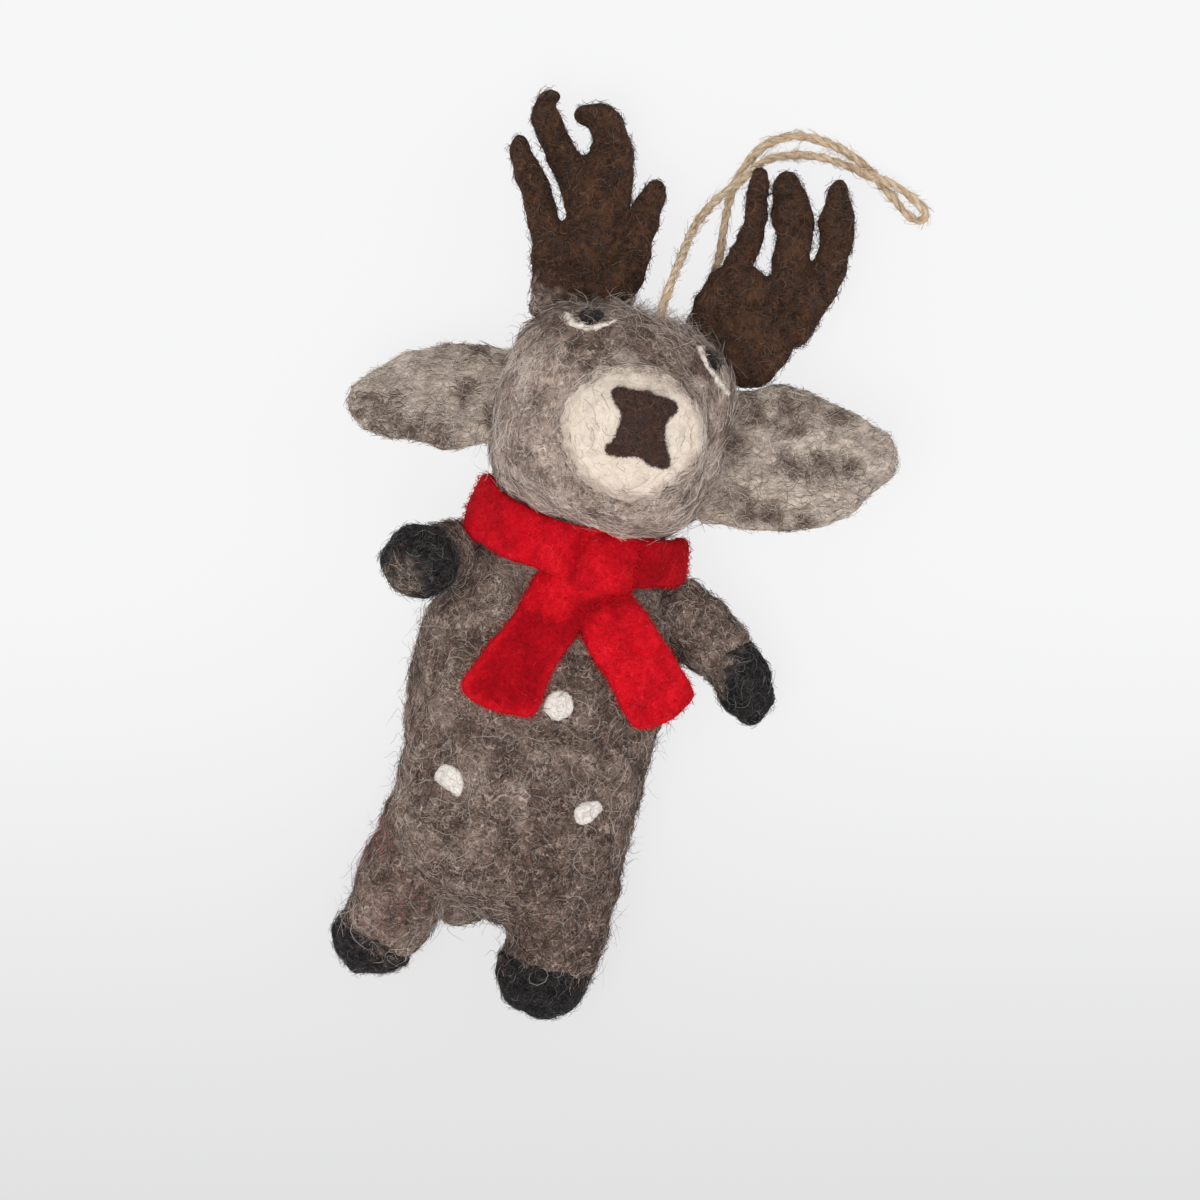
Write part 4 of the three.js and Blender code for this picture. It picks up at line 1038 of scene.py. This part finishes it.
# %% Eyes and eyelids
white_wool = wool_material("white_wool", (226, 216, 207), (243, 236, 229), (252, 248, 244), per_metre=1000,
                           width=0.03, patches=300, patch_share=0.3, bump=0.03)
eye_rims = {
    "left": [[-8, 60.1], [-9, 60.9], [-10.6, 60.6], [-11.8, 59.8], [-11.9, 58.6], [-10.6, 57.9], [-9, 58.4]],
    "right": [[11.7, 57.8], [10.9, 59.1], [9.8, 59.9], [8.8, 59.7], [9, 58.5], [10.2, 57.3], [11.3, 56.9]],
}
eye_hairs = {"left": 120, "right": 240}
lid_lines = {
    "left": [[-13.6, 58.7, 0.4], [-12.6, 57.6, 0.5], [-10.7, 57.3, 0.42], [-8.7, 58, 0.36], [-7, 59, 0.3],
             [-5.8, 60, 0.24]],
    "right": [[7.4, 59.8, 0.42], [8.4, 58.5, 0.36], [10, 56.9, 0.34], [12, 55.4, 0.42], [13.9, 54.2, 0.34]],
}
for name, extra in (("left", 1), ("right", 2)):
    eye = felted(f"{name}_eye_wool", [pad(head, eye_rims[name], 0.5, 0.7, edge=2.4, ragged=0.12)], black_wool,
                 voxel=0.24, melt=2, lumps=(2.5, 0.06), dents=(1.2, 0.03), seed=90 + extra)
    line = smooth_line(lid_lines[name])
    laid, out = rest_on(np.c_[line[:, :2], np.full(len(line), above_all)] * mm, head, from_above=True)
    lid_stations = np.c_[(laid + out * 0.2 * mm) / mm, line[:, 2], line[:, 2] * 1.1]
    lid = felted(f"{name}_eyelid_wool", [form(lid_stations[::4], out.mean(0), (0.8, 0.8), around=24)],
                 white_wool, voxel=0.2, melt=1, lumps=(1.6, 0.08), dents=(0.9, 0.04), seed=92 + extra)
    eye_hair = fibres(f"{name}_eye_fibres", eye, eye_hairs[name], head_shades[:2] + hoof_shades[:2],
                      length=(1.2, 3), seed=94 + extra, width=0.08, rise=(0.05, 0.4))
    lid_hair = fibres(f"{name}_eyelid_fibres", lid, 200, muzzle_shades[1:] + head_shades[1:3],
                      length=(1, 2.6), seed=96 + extra, width=0.08)
    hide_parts(f"{name}_eye")
    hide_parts(f"{name}_eyelid")
    belong("head", "black_wool", eye, eye_hair)
    belong("head", "white_wool", lid, lid_hair)

# %% [markdown]
# ## Ears
#
# The ears are leaves of felt with their roots in the sides of the head. The left one is turned about
# its own length, so it looks narrower.

# %% Ear forms
ear_stations = {
    "left": [[-14.2, 45.7, 18, 9.2, 2.2], [-19, 44.3, 18, 9.3, 2.5], [-23.9, 43, 18, 9.7, 2.6],
             [-28.6, 41.4, 18, 9.9, 2.6], [-33.4, 39.7, 18, 8.8, 2.4], [-37.1, 37.9, 18, 7.1, 2.1],
             [-39.8, 36.4, 18, 5.1, 1.8], [-41.8, 35.4, 18, 3, 1.4], [-42.8, 35, 18, 1.9, 1.1]],
    "right": [[12.1, 43.4, 18, 10, 2.2], [17, 44.7, 18, 10.8, 2.5], [21.9, 46.4, 18, 11.6, 2.6],
              [26.7, 47.8, 18, 11.5, 2.6], [31.5, 48.8, 18, 10.3, 2.5], [35.3, 49.8, 18, 8.2, 2.2],
              [38.6, 50.6, 18, 6, 1.9], [41.1, 51, 18, 4.3, 1.5], [42.8, 51.1, 18, 2.7, 1.1]],
}
ear_roll = {"left": np.radians(38), "right": np.radians(8)}
ear_colours = ((126, 111, 101), (160, 144, 133), (232, 220, 208), (218, 202, 186))
dark_and_shaded_ear_colours = ((58, 44, 38), (96, 79, 69), (158, 142, 130), (116, 98, 87))
ear_wool = wool_material("ear_wool", *ear_colours, per_metre=900, patches=190, patch_share=1.0,
                         stretch=(0.5, 1, 1), curl=1.2, bump=0.08, fades_to=dark_and_shaded_ear_colours)
ear_shades = fibre_materials("ear_fibre", (116, 100, 90), (166, 150, 139), (214, 200, 187), (236, 225, 213),
                             (190, 158, 126))
# Dark spots on an ear, partly darker wool and partly painted shade along its lower edge and at its
# root: across, up and the radius, in millimetres.
dark_spots_and_shade = {
    "left": [[-36.6, 35.4, 3.6], [-40.6, 35.4, 2.2], [-31.5, 34.8, 3], [-27.5, 35, 3], [-26, 50, 2.2],
             [-25.6, 43.4, 2.2], [-19, 40, 3], [-20, 49, 2]],
    "right": [[23.6, 54.8, 4.2], [19, 53.2, 3.6], [26.6, 38.2, 3.6], [22, 38.4, 3], [31.4, 38.6, 2.4],
              [31, 47.8, 2.6], [27, 46.6, 2], [32, 56.2, 2.6], [17, 47, 2.6], [36, 49.4, 1.8]],
}
for name, extra in (("left", 1), ("right", 2)):

    def ear_dark_and_shade(places):
        """How dark the ear is painted, as darker wool and painted shade: most in the middle of each dark
        spot.
        """
        across, up, radius = np.array(dark_spots_and_shade[name]).T
        away = np.hypot(places[:, :1] / mm - across, places[:, 1:2] / mm - up) / radius
        return (1.25 - away).max(1) + waves(places, 3 * mm, 0.25, 84)

    out = (0, np.sin(ear_roll[name]), np.cos(ear_roll[name]))
    along = unit(np.array(ear_stations[name][-1][:3]) - ear_stations[name][0][:3])
    ear = felted(f"{name}_ear_wool", [form(ear_stations[name], out, (1.5, 2.4), around=64)], ear_wool,
                 voxel=0.45, melt=4, lumps=(8, 0.26), dents=(2.4, 0.03), seed=100 + extra, share=ear_dark_and_shade,
                 axes=[along, np.cross(out, along), out])
    hair = fibres(f"{name}_ear_fibres", ear, 2800, ear_shades, weights=[0.16, 0.28, 0.33, 0.19, 0.04],
                  comb=lambda p, n: np.broadcast_to(along, p.shape), spread=0.8, seed=110 + extra,
                  length=(2, 5), width=0.08, curl=2.2, keep=lambda p, n: ear_dark_and_shade(p) < 0.7)
    # Darker fibres on the dark spots, which are partly darker wool and partly painted shade.
    dark_and_shaded_hair = fibres(f"{name}_ear_dark_fibres", ear, 2400, body_shades, weights=body_weights,
                       comb=lambda p, n: np.broadcast_to(along, p.shape), spread=0.9, seed=115 + extra,
                       length=(2, 4.5), width=0.08, keep=lambda p, n: ear_dark_and_shade(p) > 0.3)
    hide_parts(f"{name}_ear")
    for piece in (ear, hair, dark_and_shaded_hair):
        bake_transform(piece)

# %% [markdown]
# ## Antlers
#
# Each antler is a flat palm of dark brown wool with tines, like a mitten. The left one has four tines
# and the right one three. They lean back to the table, so their tips are lower than their roots.

# %% Antler forms
# For each tine, its stations: x, y and half width. The first one of each antler is the palm.
antler_tines = {
    "left": [
        [[-12.2, 57.2, 6.4], [-12.6, 62, 7.1], [-13.2, 66, 7.2], [-13.3, 70, 6.7], [-13.5, 74.5, 6]],
        [[-16.4, 58.5, 3], [-18.6, 65, 2.7], [-21, 71, 2.5], [-23.8, 75.8, 2.4], [-26.7, 79.7, 2.1],
         [-28.7, 82.8, 1.6], [-29.6, 84.8, 1]],
        [[-14.6, 73, 3.2], [-18.4, 80.3, 2.9], [-22.4, 83.8, 2.6], [-25.1, 86.9, 2.4], [-26.8, 89.7, 1.9],
         [-26.6, 91.6, 1.3], [-25, 92.4, 0.8]],
        [[-14, 66, 4.8], [-14.2, 76, 4.5], [-14.2, 81, 4.4], [-14.5, 85.3, 3.8], [-15.3, 88.2, 3.1],
         [-17.2, 90.6, 2.4], [-19.6, 91.2, 1.9], [-22, 90.2, 1.2]],
        [[-8.4, 60, 3.1], [-7.5, 66, 3.2], [-6.9, 71, 2.9], [-6.6, 76, 2.5], [-6.5, 80, 2.2],
         [-6.2, 82.6, 1.7], [-6.2, 84.2, 1.1]],
    ],
    "right": [
        [[11.3, 57.2, 6.8], [12.4, 62, 8.3], [13.7, 67, 8.8], [14.8, 71.5, 8.4], [15.8, 74, 7.4]],
        [[8.6, 68, 3.1], [9.3, 74, 2.3], [10.3, 79, 1.9], [10, 84, 1.7], [9.1, 88.2, 1.6], [8.6, 91.2, 1.1]],
        [[17.4, 70, 3], [17.6, 76, 2.8], [17, 81, 2.9], [15.5, 85.6, 3], [14, 88.9, 2.6], [12.7, 91.5, 1.7]],
        [[19.8, 66, 3.8], [22.4, 74, 2.9], [23.6, 79, 2.5], [23.3, 83.4, 2.6], [22.5, 87, 2.5], [21.8, 90, 2],
         [21.4, 92.8, 1.3]],
    ],
}
antler_root, antler_level, antler_slope = 62.3, 15.5, np.tan(np.radians(11))
antler_half, palm_half = 3.3, 2.7
antler_wool = wool_material("antler_wool", (24, 14, 9), (56, 37, 27), (112, 82, 62), patch=(88, 58, 42),
                            per_metre=1000, width=0.028, patches=180, patch_share=0.9, sheen=0.1,
                            fades_to=head_colours)
antler_shades = fibre_materials("antler_fibre", (36, 23, 16), (66, 45, 33), (98, 71, 53), (134, 104, 82))
# Where the head's wool was pulled up over an antler's root: how high it reaches at a place across.
grey_fade = 3.5
grey_reach = {"left": [[-21, 60], [-17, 59.3], [-12, 59], [-5, 60]],
              "right": [[4, 58.5], [9, 54.5], [18, 50]]}
for name, extra in (("left", 1), ("right", 2)):
    tines = []
    for number, tine in enumerate(antler_tines[name]):
        x, y, half = np.array(tine, float).T
        half_depth = palm_half + 0 * half if number == 0 else np.minimum(half, antler_half)
        stations = np.c_[x, y, antler_level - (y - antler_root) * antler_slope, half, half_depth]
        caps = (2, 3) if number == 0 else (1, stations[-1][3] * 1.2)
        tines.append(form(stations, caps=caps, square=2.3))

    def grey_root(places):
        """How far an antler's brown wool fades to the head's: fully below the reach, not 3.5 mm above."""
        reach = np.interp(places[:, 0] / mm, *np.array(grey_reach[name]).T)
        return 1 - (places[:, 1] / mm - reach) / grey_fade + waves(places, 2.4 * mm, 0.25, 79)

    antler = felted(f"{name}_antler_wool", tines, antler_wool, voxel=0.4, melt=3, lumps=(5, 0.18),
                    dents=(1.9, 0.05), seed=120 + extra, share=grey_root)
    hair = fibres(f"{name}_antler_fibres", antler, 2700, antler_shades, length=(1.4, 3.8), width=0.08,
                  rise=(0.03, 0.2), stand=(0.3, 1.1), loose=0.4, weights=[0.38, 0.36, 0.2, 0.06],
                  seed=130 + extra)
    root_hair = fibres(f"{name}_antler_root_fibres", antler, 2600, head_shades, rise=(0.05, 0.5),
                       seed=135 + extra, weights=[0.4, 0.34, 0.2, 0.06], keep=lambda p,
                       n: grey_root(p) > 0.45)
    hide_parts(f"{name}_antler")
    belong("head", "brown_wool", antler, hair)
    belong("head", "head_wool", root_hair)

# %% [markdown]
# ## Spots on the belly

# %% Spots
spot_rims = {
    "spot_upper": [[0.6, 0.1], [1.2, 1.8], [2.9, 2.5], [4.6, 1.9], [5.3, 0.1], [4.6, -1.6], [2.9, -2.3],
                   [1.2, -1.6]],
    "spot_left": [[-11.1, -13.7], [-12.3, -14.8], [-12.4, -16.2], [-11.2, -17.3], [-9.5, -17.6],
                  [-7.7, -17.9], [-7.5, -16.4], [-8.6, -14.5]],
    "spot_right": [[10.1, -15.4], [10.4, -13.9], [11.8, -12.9], [13.3, -12.4], [14.2, -13.4], [13.4, -15],
                   [12.6, -16.2], [11.3, -16.8]],
}
white_shades = fibre_materials("white_fibre", (226, 217, 209), (241, 235, 229), (250, 247, 243))
for extra, (name, rim) in enumerate(spot_rims.items()):
    spot = felted(f"{name}_wool", [pad(body, rim, 0.9, 0.9, edge=2.2, ragged=0.04)], white_wool, voxel=0.24,
                  melt=8, lumps=(2.6, 0.04), dents=(1.2, 0.01), seed=140 + extra)
    hair = fibres(f"{name}_fibres", spot, 260, white_shades, length=(0.8, 2.4), width=0.08, rise=(0.03, 0.2),
                  stand=(0.2, 0.6), seed=150 + extra, keep=lambda p, n: n[:, 2] > 0)
    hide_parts(name)
    belong("torso", "white_wool", spot, hair)

# %% [markdown]
# ## Scarf
#
# The scarf is one strip of thick felt, tied in a single knot. Felt doesn't drape like cloth: it keeps
# its thickness, bends in broad curves and has rounded, slightly fuzzy edges. The band is a closed ring
# whose section is a flat bar with rounded ends. The knot and both ends are pads laid on a smooth form
# a little wider than the body, because stiff felt bridges the body's sides instead of hugging them.

# %% Collar
felt_half = 1.0 * mm
neck_middle = np.array([-1.9, 12.5]) * mm  # across and above the table
neck_half = np.array([14.6, 10.6]) * mm
# Round the neck: degrees from the right over the front, then the band's lower and upper edge, and how
# far each stands off the neck.
collar_stations = np.array([
    [-90, 24.6, 29.8, 0.9, 0.9], [-40, 24.4, 30, 1.2, 1.2], [0, 24, 30.8, 1.5, 0.4],
    [25, 22.6, 30.4, 1.3, 0.3], [50, 21.2, 29.2, 0.8, 0.2], [75, 20.2, 28.8, 0.9, 0.4],
    [100, 19.4, 28, 1.9, 0.9], [125, 19.9, 28.6, 2.2, 1], [150, 21.3, 30.4, 2.4, 1],
    [172, 23.8, 31.6, 2.2, 0.8], [200, 24.6, 31, 1.6, 0.8], [235, 24.6, 30, 1.2, 1],
])
collar_around, collar_section = 200, 28
full_turn = np.array([360, 0, 0, 0, 0])
looped = np.vstack([collar_stations[-1:] - full_turn, collar_stations, collar_stations[:2] + full_turn])
rows = smooth_line(looped)
phi = np.linspace(-90, 270, collar_around, endpoint=False)
low, high, off_low, off_high = [np.interp(phi, rows[:, 0], rows[:, k]) * mm for k in (1, 2, 3, 4)]
phi = np.radians(phi)
neck_square, band_square = 2.3, 4.5
spoke = np.stack([rounded(np.cos(phi), neck_square), rounded(np.sin(phi), neck_square)], 1)
spin = unit(np.stack([spoke[:, 0] / neck_half[0], spoke[:, 1] / neck_half[1]], 1))


def collar_edge(height, off):
    """One edge of the band: the neck's rounded outline pushed out by off, at its own height."""
    flat = neck_middle + spoke * neck_half + spin * (off + felt_half)[:, None]
    return np.stack([flat[:, 0], height, flat[:, 1]], 1)


lower, upper = collar_edge(low, off_low), collar_edge(high, off_high)
outward = np.stack([spin[:, 0], 0 * phi, spin[:, 1]], 1)
angle = np.arange(collar_section) * 2 * np.pi / collar_section
flat_share, thick_share = rounded(np.cos(angle), band_square), rounded(np.sin(angle), band_square)
ring = (((lower + upper) / 2)[:, None] + ((upper - lower) / 2)[:, None] * flat_share[:, None]
        + outward[:, None] * thick_share[:, None] * felt_half)
index = np.arange(collar_around * collar_section).reshape(collar_around, collar_section)
nxt, turned = np.roll(index, -1, axis=0), np.roll(index, -1, axis=1)
ring_walls = np.stack([index, nxt, np.roll(nxt, -1, axis=1), turned], -1).reshape(-1, 4)
collar_form = (ring.reshape(-1, 3), ring_walls, np.zeros((0, 3), int))

bright_red = ((176, 0, 14), (204, 0, 24), (234, 38, 50), (226, 12, 34))
# The deeper red stands for both the felt's uneven dye and painted shade in its creases and shaded ends.
deep_dye_and_shade_red = ((118, 0, 6), (150, 0, 12), (186, 4, 26), (168, 0, 18))
red_felt = wool_material("red_felt", *bright_red, per_metre=1300, width=0.03, patches=160, patch_share=1.0,
                         bump=0.05, sheen=0.04, fades_to=deep_dye_and_shade_red)
red_shades = fibre_materials("red_fibre", (168, 0, 14), (202, 4, 24), (230, 32, 42), (240, 84, 78),
                             gloss=0.04)
# The left end's fibres take the darker weights, as painted shade.
red_weights, shaded_tail_weights = [0.2, 0.45, 0.32, 0.03], [0.7, 0.24, 0.05, 0.01]


# Painted shade where the felt turns under itself: x and y along each crease, how wide it is and how
# deep.
shaded_creases = [
    ([[8.6, 19.8], [6.6, 18.6], [4.8, 17.7], [2.6, 15.4], [2.3, 12.2]], 1.5, 0.9),
    ([[-1.5, 27], [-1.4, 25], [-1.2, 23]], 0.7, 0.6),
    ([[-14.6, 24.5], [-11.6, 22.6], [-8.6, 21.2]], 1.6, 0.3),
]


def red_dye_and_crease_shade(places):
    """The felt's dye is a little uneven, and painted shade deepens it in the creases: a bell curve of the
    distance.
    """
    share = 0.12 + 0.2 * clumps(places, 6 * mm)
    for line, wide, deep in shaded_creases:
        near = smooth_line(np.array(line), 8)
        away = np.linalg.norm(places[:, None, :2] / mm - near[None], axis=2).min(1)
        share += deep * np.exp(-(away / wide) ** 2)
    return np.clip(share, 0, 1)


def stub_dye_and_shade(places):
    """The band right of the knot is painted deeper, as painted shade under the knot and on its side turned
    from the light.
    """
    in_shade = np.clip((places[:, 0] / mm - 6) / 1.5, 0, 1) - (places[:, 0] / mm > 13.4) * 0.3
    return 0.75 * in_shade + red_dye_and_crease_shade(places)


def left_tail_dye_and_shade(places):
    """The left end is painted deeper too, as painted shade on its side turned from the light, but for its
    fuzzy rim and the fold out of the knot.
    """
    inside = from_rim(places, scarf_rims["left"])
    in_shade = np.minimum(inside / (1.4 * mm), (13.6 - places[:, 1] / mm) / 1.4)
    return 0.75 * np.clip(in_shade, 0, 1) + red_dye_and_crease_shade(places)


collar = felted("collar_felt", [collar_form], red_felt, voxel=0.45, melt=2, lumps=(9, 0.2), dents=(2.4, 0.02),
                seed=160, share=stub_dye_and_shade)

# %% Knot and ends
under_scarf = new_piece("under_scarf", new_mesh("under_scarf", *form(
    [[x, y, z, w + (3.5 if y < 20 else 2), d] for x, y, z, w, d in body_stations]
    + [[-1.64, 34, 12.5, 17, 10.2]],
    square=2.4, caps=(9, 2.5), around=128, rings=80)))
scarf_rims = {
    "left": [[-6, 20], [-7, 15.6], [-8.3, 9.6], [-10.8, 3.7], [-12.1, -1], [-11, -2.4], [-7.5, -3.3],
             [-4.6, -3.5], [-0.9, -2.8], [0, -1.6], [0.2, 3.1], [0.9, 7], [2.3, 10.8], [3.4, 14.6], [3, 20]],
    "right": [[2.4, 13.6], [4.4, 10.3], [6.4, 8.3], [9.5, 5.8], [12.2, 2.7], [14.4, 0.4], [16, 0],
              [17.8, 1.1], [19.6, 3.1], [21.2, 5.3], [21.8, 7.2], [20.7, 9.3], [17.6, 12.3], [14, 15.3],
              [11, 17.5], [8, 19.6], [5, 20.6]],
    "knot": [[-6.4, 18.8], [-4.4, 22.4], [-1.6, 26.4], [0.6, 27.9], [3.6, 28.6], [6.4, 28.4], [7.6, 27],
             [7.6, 23.6], [7.6, 20.2], [6.4, 18.3], [4.6, 16.6], [3, 13.8], [1.4, 13.2], [-1.6, 14.6],
             [-5.4, 16.4]],
}
left_end = felted("left_scarf_felt", [pad(under_scarf, scarf_rims["left"], 2.3, -0.3, edge=7, around=220,
                                          lifted=lambda p: 0.5 * np.clip((8 - p[:, 1]) / 10, 0, 1))],
                  red_felt, voxel=0.4, melt=2, lumps=(9, 0.15), dents=(2.4, 0.02), seed=161, share=left_tail_dye_and_shade)
right_end = felted("right_scarf_felt", [pad(under_scarf, scarf_rims["right"], 2.3, -0.3, edge=7, around=220)],
                   red_felt, voxel=0.4, melt=2, lumps=(9, 0.15), dents=(2.4, 0.02), seed=162, share=red_dye_and_crease_shade)


def knot_height(flat):
    """The knot sinks into the band on its left and into the ends below it, and a crease runs down from
    the notch at its top."""
    x, y = flat.T
    left = np.clip((2 - x) / 7, 0, 1) ** 1.5
    low = np.clip((19 - y) / 5, 0, 1) ** 1.5
    crease = np.exp(-(((x + 1.2) / 0.9) ** 2)) * np.clip((y - 20) / 4, 0, 1)
    return -2.2 * left - 1.6 * low - 0.9 * crease


knot = felted("knot_felt", [pad(under_scarf, scarf_rims["knot"], 5.2, -0.3, edge=2.6, around=220,
                                lifted=knot_height)], red_felt,
              voxel=0.4, melt=3, lumps=(6, 0.25), dents=(2.4, 0.02), seed=163, share=red_dye_and_crease_shade)
bpy.data.objects.remove(under_scarf)
scarf_hair = {}
for piece, count in ((collar, 1200), (knot, 600), (left_end, 800), (right_end, 810)):
    weights = shaded_tail_weights if piece is left_end else red_weights
    scarf_hair[piece] = [
        fibres(piece.name.replace("felt", "fibres"), piece, count, red_shades, length=(0.8, 2.6),
               rise=(0.02, 0.12), width=0.06, stand=(0.1, 0.5), loose=0.15, weights=weights,
               seed=170 + count // 100),
        fibres(piece.name.replace("felt", "fringe"), piece, 2 * count, red_shades[1:3], length=(0.8, 1.8),
               width=0.08, stand=(0.3, 1), loose=1, joints=6, seed=180 + count // 100,
               keep=lambda p, n: np.abs(n[:, 2]) < 0.6)]

# %% Ride and hide
for piece in (collar, knot):
    belong("torso", "red_felt", piece, *scarf_hair[piece])
for piece, moves, near, far in (
    (left_end, "left_scarf_end", (-0.002, 0.0167, 0.0262), (-0.003, 0.0125, 0.0262)),
    (right_end, "right_scarf_end", (0.0063, 0.01634, 0.0262), (0.0093, 0.0135, 0.0258)),
):
    for part in (piece, *scarf_hair[piece]):
        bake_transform(part)
for piece, node, strip_length, held, below in (
    (collar, "scarf_collar", 0.093, "folded", ["neck_wool", "body_wool"]),
    (knot, "scarf_knot", 0.019, "folded", ["collar_felt"]),
    (left_end, "scarf_left_tail", 0.0245, "laid", ["body_wool"]),
    (right_end, "scarf_right_tail", 0.0235, "laid", ["body_wool"]),
):
    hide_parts(node)

# %% [markdown]
# ## Twine, stitch and thread
#
# Jute is a bast fibre: pale tan strands that follow the ply, with darker ones between them, and a fuzz
# of broken ends. The stitch inside the crown and the thread between the shoulders keep their CAD
# shapes, and only get a finish.

# %% Twine
jute = wool_material("jute", (192, 160, 126), (226, 199, 168), (246, 229, 205), patch=(214, 184, 148),
                     per_metre=2200, width=0.06, patches=260, patch_share=0.6, curl=0.3, bump=0.12, sheen=0.1)
twine_piece = new_piece("twine", twine_mesh, jute)
jute_shades = fibre_materials("jute_fibre", (192, 160, 126), (226, 201, 170), (244, 228, 204))


def along_twine(points, normals):
    """The twine's own direction at the ring nearest to each point."""
    near = np.abs(points[:, None] - twine_path[None, ::8]).sum(-1).argmin(1)
    return np.gradient(twine_path, axis=0)[::8][near]


twine_fuzz = fibres("twine_fuzz", twine_piece, 1300, jute_shades, length=(2, 6), rise=(0.03, 0.2), width=0.09,
                    stand=(0.3, 1.3), loose=0.35, comb=along_twine, spread=0.3, curl=1, seed=190)
belong("head", "jute_twine", twine_piece, twine_fuzz)
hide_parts("hanging_loop")

# %% The carried-over stitch and thread
jute_inside = wool_material("jute_inside", (150, 116, 80), (206, 172, 128), (236, 212, 174), per_metre=2200,
                            curl=0.3, on_object=True)
waxed_thread = wool_material("waxed_thread", (60, 50, 45), (92, 80, 72), (128, 114, 104), per_metre=2600,
                             curl=0.3, on_object=True)
for node, material in (("loop_stitch", jute_inside), ("shoulder_thread", waxed_thread)):
    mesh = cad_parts[node].data
    mesh.materials.clear()
    mesh.materials.append(material)

# %% Long stray hairs
stray_shades = fibre_materials("stray_hair", (120, 106, 98), (170, 158, 150), (214, 206, 198))
for name, ground, count, rider in (("body", body, 700, "torso"), ("head", head, 420, "head")):
    hair = fibres(f"{name}_stray_hairs", ground, count, stray_shades, length=(4, 10), rise=(0.3, 1.2),
                  width=0.065, stand=(1, 3.4), loose=0.55, curl=3.6, spread=3.0, joints=10, seed=200 + count)
    belong(rider, f"{name}_wool", hair)
